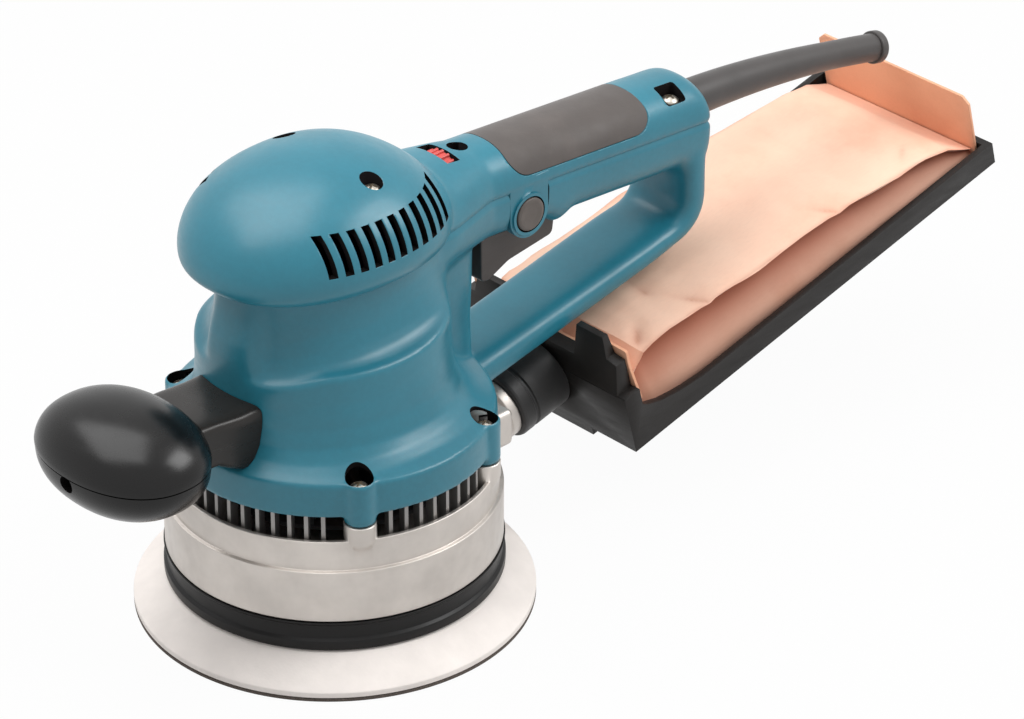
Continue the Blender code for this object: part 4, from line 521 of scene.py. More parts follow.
def rounded(profile, radius, steps):
    """Rounds the corners of a closed outline of (u, v) points; a third number sets its own."""
    out = []
    count = len(profile)
    for i, here in enumerate(profile):
        size = here[2] if len(here) > 2 else radius
        point = Vector(here[:2])
        before = Vector(profile[i - 1][:2]) - point
        after = Vector(profile[(i + 1) % count][:2]) - point
        sharp = size <= 0 or min(before.length, after.length) < 1e-9
        if sharp or before.angle(after) > STRAIGHT:
            out.append(tuple(point))
            continue
        reach = min(size / math.tan(before.angle(after) / 2),
                    before.length * 0.48, after.length * 0.48)
        start = point + before.normalized() * reach
        end = point + after.normalized() * reach
        for k in range(steps + 1):
            t = k / steps
            out.append(tuple(start * (1 - t) ** 2 + point * 2 * t * (1 - t) + end * t * t))
    return out


def rod(radius, low, high, sides, axis=Vector((0, 0, 0))):
    return turned([(0, low), (radius, low), (radius, high), (0, high)], sides, axis)


def block(low, high):
    shape = bmesh.new()
    bmesh.ops.create_cube(shape, size=1)
    low = Vector(low)
    high = Vector(high)
    for vert in shape.verts:
        vert.co = Vector(a + (b - a) * (c + 0.5) for a, b, c in zip(low, high, vert.co))
    return shape


def extruded(outline, depth, place):
    return skin([[place @ Vector((u, v, w)) for u, v in outline] for w in (-depth / 2, depth / 2)])


def moved(shape, matrix):
    bmesh.ops.transform(shape, matrix=matrix, verts=shape.verts)
    return shape


def merged(shapes):
    whole = bmesh.new()
    for shape in shapes:
        part = bpy.data.meshes.new("part")
        bmesh.ops.recalc_face_normals(shape, faces=shape.faces)
        shape.to_mesh(part)
        shape.free()
        whole.from_mesh(part)
        bpy.data.meshes.remove(part)
    return whole


def mix(a, b, share):
    return a + (b - a) * share


def ease(x):
    x = max(0.0, min(1.0, x))
    return x * x * (3 - 2 * x)


def oval(half_width, front, rear, power, height, centre_y, count):
    """A level egg: x is symmetric, front is towards -Y and rear towards +Y."""
    points = []
    for angle in around(count):
        along = math.sin(angle)
        reach = rear if along > 0 else front
        points.append(Vector((half_width * fuller(math.cos(angle), 2 / power),
                              centre_y + reach * fuller(along, 2 / power), height)))
    return points


def settle(target, rounds, weight=None):
    """Smooths a mesh in place; weight gives each vertex its share from an array of points."""
    pull = 0.5
    mesh = target.data
    count = len(mesh.vertices)
    co = np.empty(count * 3)
    mesh.vertices.foreach_get("co", co)
    co = co.reshape(-1, 3)
    ends = np.empty(len(mesh.edges) * 2, np.int64)
    mesh.edges.foreach_get("vertices", ends)
    a, b = ends.reshape(-1, 2).T
    degree = np.bincount(a, minlength=count) + np.bincount(b, minlength=count)
    share = pull if weight is None else pull * weight(co)[:, None]
    for _ in range(rounds):
        total = np.stack([np.bincount(a, co[b, k], count) + np.bincount(b, co[a, k], count)
                          for k in range(3)], 1)
        co += (total / degree[:, None] - co) * share
    mesh.vertices.foreach_set("co", co.ravel())
    mesh.update()


def finish_piece(target, body, slot, *nodes):
    """Puts a finished piece on its body in place of the nodes it stands for."""
    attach(target, body)
    if nodes:
        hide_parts(*nodes)


# ================================================================ forms of the housing
def seam_height(y):
    return SEAM_Z - HANDLE_SEAM_FALL * max(0.0, y - HANDLE_LEVEL_TO)


def sizes_between(first, second, share):
    return tuple(mix(a, b, share) for a, b in zip(first, second))


def neck_height(y):
    """Height of the crease under the neck, which climbs from the front grip to the handle."""
    return (NECK_LOW + NECK_CLIMB_SIDE * ease((y + 0.050) / 0.020)
            + NECK_CLIMB_REAR * ease((y + 0.010) / 0.060))


def barrel_form(grow=0.0, low=None, high=None, count=160, fine=True):
    """The motor barrel from its flange to the waist under the dome."""
    flange = (FLANGE_RADIUS,) * 3
    span = SEAM_Z - NECK_Z
    keys = [(FLANGE_Z, flange), (CREASE_LOW_Z, (FLANGE_RADIUS - 0.0004,) * 3)]
    keys += [(CREASE_LOW_Z + rise, sizes_between(BARREL, flange, share)) for rise, share in FLARE]
    keys += [(NECK_Z + rise, sizes_between(BARREL, WAIST, share)) for rise, share in NECK]
    keys += [(NECK_Z + span * up, sizes_between(BARREL, WAIST, share)) for up, share in NECK_TOP]
    keys.append((SEAM_Z + 0.002, WAIST))
    if low is not None:
        keys[0] = (low, keys[0][1])
    if high is not None:
        keys[-1] = (high, keys[-1][1])
    sections = []
    for height, (half, front, rear) in keys:
        power = EGG_POWER if height > CREASE_LOW_Z + 0.001 else 2.0
        ring = oval(half + grow, front + grow, rear + grow, power, height, 0, count)
        if fine:
            bend = ease((height - CREASE_LOW_Z - 0.016) / 0.014) * ease((SEAM_Z - height) / 0.020)
            full = oval(*BARREL, power, height, 0, count)
            left = ease((SEAM_Z + 0.004 - height) / span)
            for point, wide in zip(ring, full):
                point.z += (neck_height(point.y) - NECK_Z) * bend
                if height > NECK_Z - 0.002:
                    nose = left * ease((NOSE_EDGE - abs(wide.x)) / NOSE_BLEND) * (wide.y < 0)
                    point.x, point.y = mix(point.x, wide.x, nose), mix(point.y, wide.y, nose)
        sections.append(ring)
    return skin(sections)


def dome_size(height, widest, size, low_size):
    if height >= widest:
        share = (height - widest) / (DOME_HEIGHT - widest)
        return size * math.sqrt(max(0.0, 1 - share * share))
    share = 1 - height / widest
    return mix(low_size, size, math.sqrt(1 - share ** 2))


def dome_form(grow=0.0, base=0.0, count=160, steps=36):
    """The domed palm grip, from the seam to its crown."""
    levels = [base] + [DOME_SIDE_RISE * (i / 12) ** 1.6 for i in range(1, 13)]
    levels += [mix(DOME_SIDE_RISE, DOME_HEIGHT, math.sin(math.pi / 2 * i / steps))
               for i in range(1, steps)]
    levels.append(DOME_HEIGHT * 0.9999)
    sections = []
    for level in levels:
        above = max(level, 0.0)
        half = dome_size(above, DOME_SIDE_RISE, DOME_HALF_WIDTH, WAIST[0])
        front = dome_size(above, DOME_FRONT_RISE, DOME_FRONT, WAIST[1] + DOME_CENTRE_Y)
        rear = dome_size(above, DOME_FRONT_RISE, DOME_REAR, DOME_REAR - 0.004)
        shrink = grow * (1 if level < DOME_HEIGHT * 0.97 else 0.2)
        top = grow if level > DOME_HEIGHT * 0.6 else 0.0
        sections.append(oval(max(half + shrink, 0.0005), max(front + shrink, 0.0005),
                             max(rear + shrink, 0.0005), EGG_POWER, SEAM_Z + level + top,
                             DOME_CENTRE_Y, count))
    return skin(sections)


def handle_station(y):
    """Half-width, rise above and depth below the seam of the handle at y."""
    near = min(1.0, max(0.0, 1 - (y - BAR_FRONT_Y) / ROOT_REACH))
    half = HANDLE_HALF_WIDTH + ROOT_WIDER * near
    rise = HANDLE_RISE + ROOT_HIGHER * near
    depth = HANDLE_DEPTH
    off = abs(y - RIDGE_Y) / RIDGE_REACH
    if off < 1:
        depth += RIDGE_DEPTH * (0.5 + 0.5 * math.cos(math.pi * off))
    for reach in (0.0085, 0.0040):
        end = max((HANDLE_END - y) / reach, 0.03)
        if end < 1:
            round_off = math.sqrt(1 - (1 - end) ** 2)
            if reach > 0.005:
                rise *= mix(0.50, 1.0, round_off)
            else:
                half *= mix(0.82, 1.0, round_off)
    return half, rise, depth


def handle_outline(y):
    half, rise, depth = handle_station(y)
    seam = seam_height(y)
    points = []
    for angle in around(72, 0.5):
        up = math.sin(angle)
        power, reach = (HANDLE_POWER, rise) if up > 0 else (HANDLE_LOW_POWER, depth)
        points.append(Vector((half * fuller(math.cos(angle), 2 / power), y,
                              seam + reach * fuller(up, 2 / power))))
    return points


def handle_form():
    start = BAR_FRONT_Y - 0.016
    levels = [mix(start, HANDLE_END - 0.010, i / 56) for i in range(57)]
    levels += [HANDLE_END - 0.010 * (1 - math.sin(math.pi / 2 * i / 16)) for i in range(1, 17)]
    return skin([handle_outline(y) for y in levels])


def loop_path():
    """Centre points, directions and thicknesses of the bar under the handle and its column."""
    detail = 4
    slope = math.tan(DUST_TILT)
    stations = []
    low_end = COLUMN_Y - COLUMN_CORNER - 0.003
    for i in range(6 * detail + 1):
        share = i / (6 * detail)
        y = mix(BAR_FRONT_Y - 0.004, low_end, share)
        z = BAR_FRONT_Z + (y - BAR_FRONT_Y) * slope * BAR_SLOPE - 0.0008 * share
        stations.append((Vector((0, y, z)), math.atan(slope * BAR_SLOPE),
                         mix(BAR_FRONT_THICKNESS, BAR_REAR_THICKNESS, share)))
    start, tilt, thickness = stations[-1]
    turn = math.radians(90) - tilt
    centre = start + Vector((0, -math.sin(tilt), math.cos(tilt))) * COLUMN_CORNER
    for i in range(1, 6 * detail + 1):
        angle = tilt + turn * i / (6 * detail)
        point = centre + Vector((0, math.sin(angle), -math.cos(angle))) * COLUMN_CORNER
        stations.append((point, angle, mix(thickness, COLUMN_THICKNESS, i / (6 * detail))))
    corner, angle, thickness = stations[-1]
    top = seam_height(COLUMN_Y) - HANDLE_DEPTH * 0.6
    for i in range(1, 3 * detail + 1):
        height = mix(corner.z, top, i / (3 * detail))
        stations.append((Vector((0, corner.y, height)), angle, thickness))
    return stations


def loop_form():
    """The bar and its column as one skin along their path."""
    sections = []
    path = loop_path()
    for k, (centre, angle, thickness) in enumerate(path):
        outward = Vector((0, math.sin(angle), -math.cos(angle)))
        half = mix(BAR_HALF_WIDTH, COLUMN_HALF_WIDTH, ease(2 * k / len(path)))
        sections.append([
            centre + Vector((half * fuller(math.cos(turn), 2 / BAR_POWER), 0, 0))
            + outward * (thickness / 2 * fuller(math.sin(turn), 2 / BAR_DEPTH_POWER))
            for turn in around(48)])
    return skin(sections)


def web_form():
    """The narrow spine behind the barrel that the bar and the handle spring from."""
    centre_y = BARREL[2] - 0.010
    rear = WEB_END - centre_y
    low = BAR_FRONT_Z - BAR_FRONT_THICKNESS * 0.3
    high = SEAM_Z + 0.002
    return skin([
        oval(half, 0.012, reach, 3.4, height, centre_y, 64)
        for height, half, reach in (
            (low, BAR_HALF_WIDTH, rear + 0.006), (low + 0.012, BAR_HALF_WIDTH, rear + 0.001),
            (mix(low, high, 0.4), BAR_HALF_WIDTH, rear),
            (mix(low, high, 0.6), HANDLE_HALF_WIDTH, rear),
            (high, HANDLE_HALF_WIDTH, rear + 0.001))])


def boss_places():
    return [Vector((sx * BOSS_X, sy * BOSS_Y, 0)) for sy in (-1, 1) for sx in (-1, 1)]


def beyond_seam(shift, side):
    """Everything over the parting surface for side 1, or under it for side -1."""
    far = 0.4 if side > 0 else -0.1
    line = [(-0.2, SEAM_Z + shift), (HANDLE_LEVEL_TO, SEAM_Z + shift),
            (0.3, seam_height(0.3) + shift), (0.3, far), (-0.2, far)]
    return extruded(line, 0.2, SIDE_ON)


def handle_cavity(low_shift, high_shift, half, start, end):
    """A bar along the seam, between two heights measured from it."""
    line = [(y, seam_height(y) + shift) for y, shift in (
        (start, low_shift), (end, low_shift), (end, high_shift), (start, high_shift))]
    return extruded(line, 2 * half, SIDE_ON)


def lock_height():
    return seam_height(LOCK_Y) - LOCK_DROP


def lock_lobe(grow, outer=HANDLE_HALF_WIDTH + 0.004):
    """The lobe of the top cover that hangs below the seam round the lock button, on +X."""
    radius = LOBE_RADIUS + grow
    outline = [(LOCK_Y + radius, SEAM_Z + 0.002), (LOCK_Y - radius, SEAM_Z + 0.002)]
    for i in range(41):
        angle = math.pi * i / 40
        outline.append((LOCK_Y - radius * math.cos(angle),
                        lock_height() - radius * math.sin(angle)))
    inner = LOBE_INNER - grow
    middle = (inner + outer) / 2
    return extruded(outline, outer - inner, Matrix.Translation((middle, 0, 0)) @ SIDE_ON)


def on_lock(shape):
    """Turns an upright shape onto the lock button's axis."""
    return moved(shape, Matrix.Translation((0, LOCK_Y, lock_height())) @ FACE_X)


def lock_round(radius, start, proud):
    return on_lock(rod(radius, start, HANDLE_HALF_WIDTH + proud, 64))


def guard_axis(count=12):
    """Centres and radii of the cord guard, which droops towards its tip."""
    stations = []
    for i in range(count):
        share = i / (count - 1)
        y = GUARD_START_Y + GUARD_LENGTH * share
        z = GUARD_ROOT_Z + 0.0009 - GUARD_DROP * share ** 1.7
        radius = mix(GUARD_BASE_RADIUS, GUARD_TIP_RADIUS, min(1.0, share * 1.35))
        stations.append((Vector((0, y, z)), radius))
    return stations


def along_path(points, radii, count=48):
    """A round skin through centre points, each with its own radius."""
    sections = []
    for i, (centre, radius) in enumerate(zip(points, radii)):
        before = points[max(i - 1, 0)]
        after = points[min(i + 1, len(points) - 1)]
        along = (after - before).normalized()
        up = Vector((1, 0, 0)).cross(along)
        sections.append([
            centre + (Vector((1, 0, 0)) * math.cos(a) + up * math.sin(a)) * radius
            for a in around(count)])
    return skin(sections)


def guard_socket(grow):
    stations = guard_axis()[:4]
    return along_path([p for p, _ in stations], [r + grow for _, r in stations])


def guard_collar(grow):
    centre, _ = guard_axis()[0]
    return moved(rod(GUARD_COLLAR_RADIUS + grow, -0.0045 - grow, -0.0005 + grow, 48),
                 Matrix.Translation(centre) @ LIE_DOWN)


def grip_form(grow_in, grow_out):
    """A saddle over the top of the handle: a band of even thickness with rounded ends."""
    count, steps = 56, 48
    sections = []
    for i in range(steps + 1):
        share = 0.5 - 0.5 * math.cos(math.pi * i / steps)
        y = mix(GRIP_START - grow_out, GRIP_END + grow_out, share)
        half, rise, _ = handle_station(y)
        seam = seam_height(y)
        low = math.asin(min(1.0, (GRIP_LOW / rise) ** 1.15)) + 0.02
        near_end = min(share, 1 - share) / 0.12
        if near_end < 1:
            low = mix(math.radians(50), low, math.sqrt(max(0.0, 1 - (1 - near_end) ** 2)))
        low -= grow_out * 70
        points = []
        for outward in (True, False):
            for k in range(count):
                step = k / (count - 1)
                angle = mix(low, math.pi - low, step if outward else 1 - step)
                inset = -grow_out * 4 if outward and grow_out else (
                    0.0 if outward else GRIP_THICKNESS + grow_in)
                points.append(Vector((
                    (half - inset) * fuller(math.cos(angle), 2 / HANDLE_POWER), y,
                    seam + (rise - inset) * abs(math.sin(angle)) ** (2 / HANDLE_POWER))))
        sections.append(points)
    return skin(sections)


def dial_slot():
    """The opening for the speed wheel, wide inside and narrow where the wheel shows."""
    wide = DIAL_RADIUS + GAP * 2
    side = [(wide, SEAM_Z + 0.0040), (wide, DIAL_Z + 0.0035), (DIAL_SLOT_HALF, DIAL_Z + 0.0060),
            (DIAL_SLOT_HALF, DIAL_Z + DIAL_RADIUS + 0.02)]
    return extruded(mirrored(side), DIAL_WIDTH + GAP * 4,
                    Matrix.Translation((0, DIAL_Y, 0)) @ STAND_UP)


# ================================================================ Geometry Nodes helpers
class Recipe(Nodes):
    """A Geometry Nodes tree with named inputs, run once on a piece and turned into its mesh."""

    def __init__(self, name):
        super().__init__(bpy.data.node_groups.new(name, "GeometryNodeTree"))
        for way in ("INPUT", "OUTPUT"):
            self.tree.interface.new_socket("Geometry", in_out=way,
                                           socket_type="NodeSocketGeometry")
        self.start = self.node("NodeGroupInput")
        self.end = self.node("NodeGroupOutput")
        self.values = {}

    def sizes(self, **values):
        """Named inputs of the tree, and the sockets that give their values."""
        sockets = []
        for name, value in values.items():
            name = name.replace("_", " ")
            kind = "NodeSocketInt" if isinstance(value, int) else "NodeSocketFloat"
            socket = self.tree.interface.new_socket(name, in_out="INPUT", socket_type=kind)
            self.values[socket.identifier] = value
            sockets.append(self.start.outputs[name])
        return sockets

    def shape(self, kind, **inputs):
        """The first output of a new node."""
        return self.node(kind, **inputs).outputs[0]

    def vector(self, x, y, z):
        return self.shape("ShaderNodeCombineXYZ", X=x, Y=y, Z=z)

    def placed(self, geometry, **change):
        return self.shape("GeometryNodeTransform", Geometry=geometry, **change)

    def copies(self, points, instance, **change):
        return self.shape("GeometryNodeInstanceOnPoints", Points=points, Instance=instance,
                          **change)

    def joined(self, *parts):
        made = self.node("GeometryNodeJoinGeometry")
        for part in parts:
            self.link(part, made.inputs[0])
        return made.outputs[0]

    def run(self, name, shape, geometry, finish):
        """Ends the tree and runs it on the bmesh's points."""
        real = self.shape("GeometryNodeRealizeInstances", Geometry=geometry)
        self.link(self.shape("GeometryNodeSetMaterial", Geometry=real,
                             Material=finishes[finish].material), self.end.inputs[0])
        made = as_object(name, shape, finish)
        step = made.modifiers.new("recipe", "NODES")
        step.node_group = self.tree
        for identifier, value in self.values.items():
            step[identifier] = value
        bake(made)
        return made


def points_mesh(places):
    shape = bmesh.new()
    for place in places:
        shape.verts.new(place)
    return shape


# ================================================================ top cover and motor housing
def bevelled(target, width, segments, angle):
    step = target.modifiers.new("edges", "BEVEL")
    step.width = width
    step.segments = segments
    step.limit_method = "ANGLE"
    step.angle_limit = math.radians(angle)
    step.harden_normals = True
    bake(target)


def make_housings():
    """One blended form for the whole moulding, parted at the seam and hollowed out."""
    bosses = [rod(BOSS_RADIUS, FLANGE_Z - BOSS_DROP, CREASE_LOW_Z + 0.001, 48, place)
              for place in boss_places()]
    whole = as_object("moulding", merged(
        [barrel_form(), handle_form(), loop_form(), web_form(), dome_form()] + bosses), "teal")
    step = whole.modifiers.new("blend", "REMESH")
    step.mode = "VOXEL"
    step.voxel_size = VOXEL
    bake(whole)
    settle(whole, 3)

    def valley(co):
        """Where the spine, the bar and the handle run into the barrel and each other."""
        across, along, height = np.abs(co[:, 0]), co[:, 1], co[:, 2]
        spine = np.exp(-((along - 0.040) / 0.012) ** 2 - ((across - 0.022) / 0.012) ** 2)
        corner = np.exp(-((along - 0.166) / 0.010) ** 2)
        return np.clip(spine + corner * 0.8, 0, 1) * (height > 0.070)

    settle(whole, 60, valley)
    soften(whole, 60)
    upper = in_scene("cover_shell", whole.data.copy())
    whole.name = "motor_shell"
    carve(upper, beyond_seam(GAP / 2, 1), "INTERSECT", "teal")
    carve(whole, beyond_seam(-GAP / 2, -1), "INTERSECT", "teal")
    ease_seam(upper, 0.0006, 0.0016)
    ease_seam(whole, 0.0012, 0.0022)
    hollow_motor_shell(whole)
    hollow_cover_shell(upper)
    for piece in (upper, whole):
        soften(piece, 38)
    finish_piece(upper, "body", "teal_plastic", "top_cover")
    finish_piece(whole, "body", "teal_plastic", "motor_housing")


def ease_seam(shell, depth, reach):
    """Draws the skin in beside the parting line, so that a small step and a shadow show there."""
    normals = [vert.normal.copy() for vert in shell.data.vertices]
    for vert, normal in zip(shell.data.vertices, normals):
        off = abs(vert.co.z - seam_height(vert.co.y))
        level = Vector((normal.x, normal.y, 0))
        if off < reach and level.length > 0.2:
            vert.co -= level.normalized() * depth * (1 - off / reach)
    shell.data.update()


def hollow_motor_shell(body):
    """The barrel's and the handle's hollows and the openings of the controls."""
    side = TRIGGER_HALF_WIDTH + GAP * 2
    for tool in (
            barrel_form(-SHELL, FLANGE_Z - 0.02, SEAM_Z + 0.02, 64, False),
            handle_cavity(-HANDLE_DEPTH + HANDLE_FLOOR, 0.01, HANDLE_HALF_WIDTH - HANDLE_WALL,
                          BARREL[2] - 0.012, HANDLE_END - 0.009),
            block((-side, TRIGGER_START - GAP * 2, SEAM_Z - HANDLE_DEPTH - 0.010),
                  (side, TRIGGER_START + TRIGGER_LENGTH + GAP * 2, SEAM_Z)),
            lock_lobe(GAP),
            lock_round(LOCK_RADIUS + GAP * 2, LOBE_INNER - LOCK_TRAVEL - GAP * 2, 0.01),
            guard_socket(GAP), guard_collar(GAP * 2)):
        carve(body, tool)
    for place in boss_places():
        carve(body, rod(BASE_POCKET, BASE_SEAT_Z, SEAM_Z, 40, place))
        carve(body, rod(SCREW_HOLE, FLANGE_Z - 0.02, BASE_SEAT_Z + 0.001, 24, place))


def hollow_cover_shell(body):
    """The dome's and the handle's hollows, the grip's seat, the slots and the screw pockets."""
    carve(body, lock_lobe(0, HANDLE_HALF_WIDTH - 0.0003), "UNION", "teal")
    carve(body, dome_form(-SHELL, -0.01, 64, 10))
    carve(body, handle_cavity(-0.01, HANDLE_RISE - 0.0065, HANDLE_HALF_WIDTH - 0.0060,
                              BARREL[2] - 0.012, HANDLE_END - 0.009))
    carve(body, grip_form(GAP, GAP), finish="teal")
    carve(body, lock_round(LOCK_RADIUS + LOCK_LIP, LOBE_INNER + 0.0005, 0.0004), "UNION", "teal")
    for tool in (lock_round(LOCK_RADIUS + GAP * 2, 0, 0.01), guard_socket(GAP),
                 guard_collar(GAP * 2), dial_slot(), air_slots()):
        carve(body, tool)
    for place in dome_seats():
        place, seat = Vector((place.x, place.y, 0)), place.z
        post = rod(DOME_SCREW_POCKET + 0.0018, seat - 0.003, dome_skin(place) + 0.004, 48, place)
        # the post takes the near-black inner finish, painted shade
        post = as_object("post", post, "inner")
        carve(post, dome_form(-SHELL / 2, -0.01, 64, 10), "INTERSECT")
        carve(body, post, "UNION")
        carve(body, rod(DOME_SCREW_POCKET, seat, SEAM_Z + DOME_HEIGHT + 0.01, 48, place))
        carve(body, rod(SCREW_HOLE, seat - 0.01, seat + 0.001, 24, place))
    for place, rise in HANDLE_SEATS:
        seat = seam_height(place.y) + rise
        if place.x:
            pocket = block((-0.0036, -0.0056, seat), (0.0046, 0.0046, seat + 0.03))
            pocket = as_object("pocket", moved(pocket, Matrix.Translation(place)), "inner")
            bevelled(pocket, 0.0012, 3, 40)
        else:
            pocket = rod(HANDLE_SCREW_POCKET, seat, seat + 0.03, 48, place)
        carve(body, pocket)
        carve(body, rod(SCREW_HOLE, seat - 0.02, seat + 0.001, 24, place))


def dome_seats():
    """Where the heads of the dome's two screws rest."""
    places = [Vector((side * DOME_SCREW_X, DOME_SCREW_Y, 0)) for side in (-1, 1)]
    return [place + Vector((0, 0, dome_skin(place) - DOME_SCREW_DEPTH)) for place in places]


def dome_skin(point):
    """Height of the dome's surface over a point."""
    across = point.x / DOME_HALF_WIDTH
    along = (point.y - DOME_CENTRE_Y) / DOME_FRONT
    rise = (DOME_HEIGHT - DOME_SIDE_RISE) * math.sqrt(1 - across ** 2 - along ** 2)
    return SEAM_Z + DOME_SIDE_RISE + rise


def air_slots():
    """The row of air slots as one cutter: a bar through the dome, repeated along it."""
    recipe = Recipe("air slots")
    width, pitch, count, tall, reach = recipe.sizes(
        Slot_width=SLOT_WIDTH, Slot_pitch=SLOT_PITCH, Slot_count=SLOT_COUNT,
        Slot_height=SLOT_HIGH - SLOT_LOW, Slot_reach=2 * (DOME_HALF_WIDTH + 0.01))
    bar = recipe.shape("GeometryNodeMeshCube", Size=recipe.vector(reach, width, tall))
    row = recipe.shape("GeometryNodeMeshLine", Count=count, Offset=recipe.vector(0, pitch, 0),
                       Start_Location=(0, SLOT_START_Y, SEAM_Z + (SLOT_LOW + SLOT_HIGH) / 2))
    # the slots' walls take the near-black inner finish, painted shade
    return recipe.run("air_slot_tool", bmesh.new(), recipe.copies(row, bar), "inner")


make_housings()


# ================================================================ grip, trigger, button and dial
def make_grip():
    grip = as_object("grip_cover", grip_form(0, 0), "grip")
    bevelled(grip, 0.0004, 2, 50)
    finish_piece(grip, "body", "grip_rubber", "grip_overmould")


def make_trigger():
    low = SEAM_Z - HANDLE_DEPTH
    start = TRIGGER_START
    end = TRIGGER_START + TRIGGER_LENGTH
    front, rear = low - TRIGGER_FRONT_DEPTH, low - TRIGGER_REAR_DEPTH
    middle = low - mix(TRIGGER_FRONT_DEPTH, TRIGGER_REAR_DEPTH, 0.6)
    side = rounded([
        (start, TRIGGER_TOP_Z, 0.001), (start, front + 0.0005, 0.0035),
        (start + 0.004, front, 0.002), (start + 0.014, middle, 0.010),
        (end - 0.002, rear, 0.003), (end, TRIGGER_TOP_Z, 0.001)], 0.001, 10)
    blade = extruded(side, TRIGGER_HALF_WIDTH * 2, SIDE_ON)
    trigger = as_object("trigger_blade", blade, "trigger")
    bevelled(trigger, 0.0018, 5, 50)
    finish_piece(trigger, "trigger", "trigger_plastic", "trigger")


def make_lock_button():
    """A round button with a dished face, on the lobe beside the trigger."""
    face = HANDLE_HALF_WIDTH + LOCK_PROUD
    cap = rounded([(0, LOBE_INNER, 0), (LOCK_RADIUS, LOBE_INNER, 0.0003),
                   (LOCK_RADIUS, face - 0.0002, 0.0009), (LOCK_RADIUS * 0.8, face, 0.001),
                   (LOCK_RADIUS * 0.5, face - 0.0003, 0.004), (0, face - 0.0004, 0)], 0.0005, 5)
    button = as_object("lock_button_cap", on_lock(turned(cap, 64)), "button")
    finish_piece(button, "lock_button", "button_plastic", "lock_button")


def make_dial():
    """The speed wheel: a drum with a row of ribs round it."""
    recipe = Recipe("dial ribs")
    count, radius, wide, rib = recipe.sizes(
        Rib_count=DIAL_RIBS, Wheel_radius=DIAL_RADIUS, Wheel_width=DIAL_WIDTH,
        Rib_thickness=0.0013)
    drum = recipe.shape("GeometryNodeMeshCylinder", Vertices=96, Depth=wide,
                        Radius=recipe.maths("SUBTRACT", radius, 0.0009))
    half_rib = recipe.maths("MULTIPLY", rib, 0.5)
    bar = recipe.shape("GeometryNodeMeshCylinder", Vertices=12, Depth=wide, Radius=half_rib)
    ring = recipe.shape("GeometryNodeMeshCircle", Vertices=count,
                        Radius=recipe.maths("SUBTRACT", radius, half_rib))
    joined = recipe.joined(drum, recipe.copies(ring, bar))
    wheel = recipe.run("speed_wheel", bmesh.new(), joined, "dial")
    wheel.data.transform(Matrix.Translation((0, DIAL_Y, DIAL_Z)) @ STAND_UP)
    soften(wheel, 40)
    finish_piece(wheel, "speed_dial", "dial_plastic", "speed_dial")


make_grip()
make_trigger()
make_lock_button()
make_dial()


# ================================================================ screws
def make_screws():
    """Pan-head screws with a cross recess, one set for all the seats of the body."""
    seats = [Vector((p.x, p.y, BASE_SEAT_Z)) for p in boss_places()]
    seats += dome_seats()
    seats += [place + Vector((0, 0, seam_height(place.y) + rise)) for place, rise in HANDLE_SEATS]
    recipe = Recipe("cross-head screws")
    head, tall, shank, long, slit, turn = recipe.sizes(
        Head_radius=HEAD_RADIUS, Head_height=0.0024, Shank_radius=0.0020, Shank_length=0.0080,
        Recess_width=0.0010, Turn_seed=4)
    crown = recipe.placed(
        recipe.shape("GeometryNodeMeshUVSphere", Segments=32, Rings=16, Radius=head),
        Scale=recipe.vector(1, 1, recipe.maths("DIVIDE", tall, head)))
    slab = recipe.placed(recipe.shape("GeometryNodeMeshCube", Size=(0.02, 0.02, 0.02)),
                         Translation=(0, 0, -0.01))
    stem = recipe.placed(
        recipe.shape("GeometryNodeMeshCylinder", Vertices=24, Radius=shank, Depth=long),
        Translation=recipe.vector(0, 0, recipe.maths("MULTIPLY", long, -0.48)))
    span = recipe.maths("MULTIPLY", head, 1.15)
    deep = recipe.maths("MULTIPLY", tall, 1.2)
    bars = [recipe.placed(recipe.shape("GeometryNodeMeshCube", Size=size),
                          Translation=recipe.vector(0, 0, tall))
            for size in (recipe.vector(span, slit, deep), recipe.vector(slit, span, deep))]
    cut = recipe.node("GeometryNodeMeshBoolean", operation="DIFFERENCE", solver="EXACT")
    recipe.link(crown, cut.inputs["Mesh 1"])
    for tool in [slab] + bars:
        recipe.link(tool, cut.inputs["Mesh 2"])
    whole = recipe.joined(cut.outputs[0], stem)
    spin = recipe.node("FunctionNodeRandomValue", data_type="FLOAT", Seed=turn)
    angle = recipe.maths("MULTIPLY", spin.outputs[1], math.pi)
    copies = recipe.copies(recipe.start.outputs["Geometry"], whole,
                           Rotation=recipe.vector(0, 0, angle))
    screws = recipe.run("screws", points_mesh([s + Vector((0, 0, GAP)) for s in seats]),
                        copies, "screw")
    soften(screws, 35)
    finish_piece(screws, "body", "screw_steel", *(
        f"{a}_screw_{b}" for a, ends in (
            ("base", ("front_left", "front_right", "rear_left", "rear_right")),
            ("dome", ("left", "right")), ("handle", ("front", "rear"))) for b in ends))


make_screws()


# ================================================================ skirt ring and fan housing
def make_skirt_ring():
    outer = SKIRT_RADIUS + 0.0006
    inner = outer - 0.0062
    top = SKIRT_Z - GAP
    ring = as_object("skirt_band", turned(rounded([
        (outer, RING_Z, 0.0005), (outer, RING_Z + 0.0036, 0.0006),
        (outer - 0.0012, RING_Z + 0.0046, 0.0005),
        (outer - 0.0012, top - 0.0016, 0.0004), (outer - 0.0002, top - 0.0006, 0.0004),
        (outer - 0.0002, top, 0.0003),
        (inner, top, 0.0003), (inner, RING_Z, 0.0005)], 0.0004, 5), 192), "ring")
    finish_piece(ring, "body", "ring_plastic", "skirt_ring")


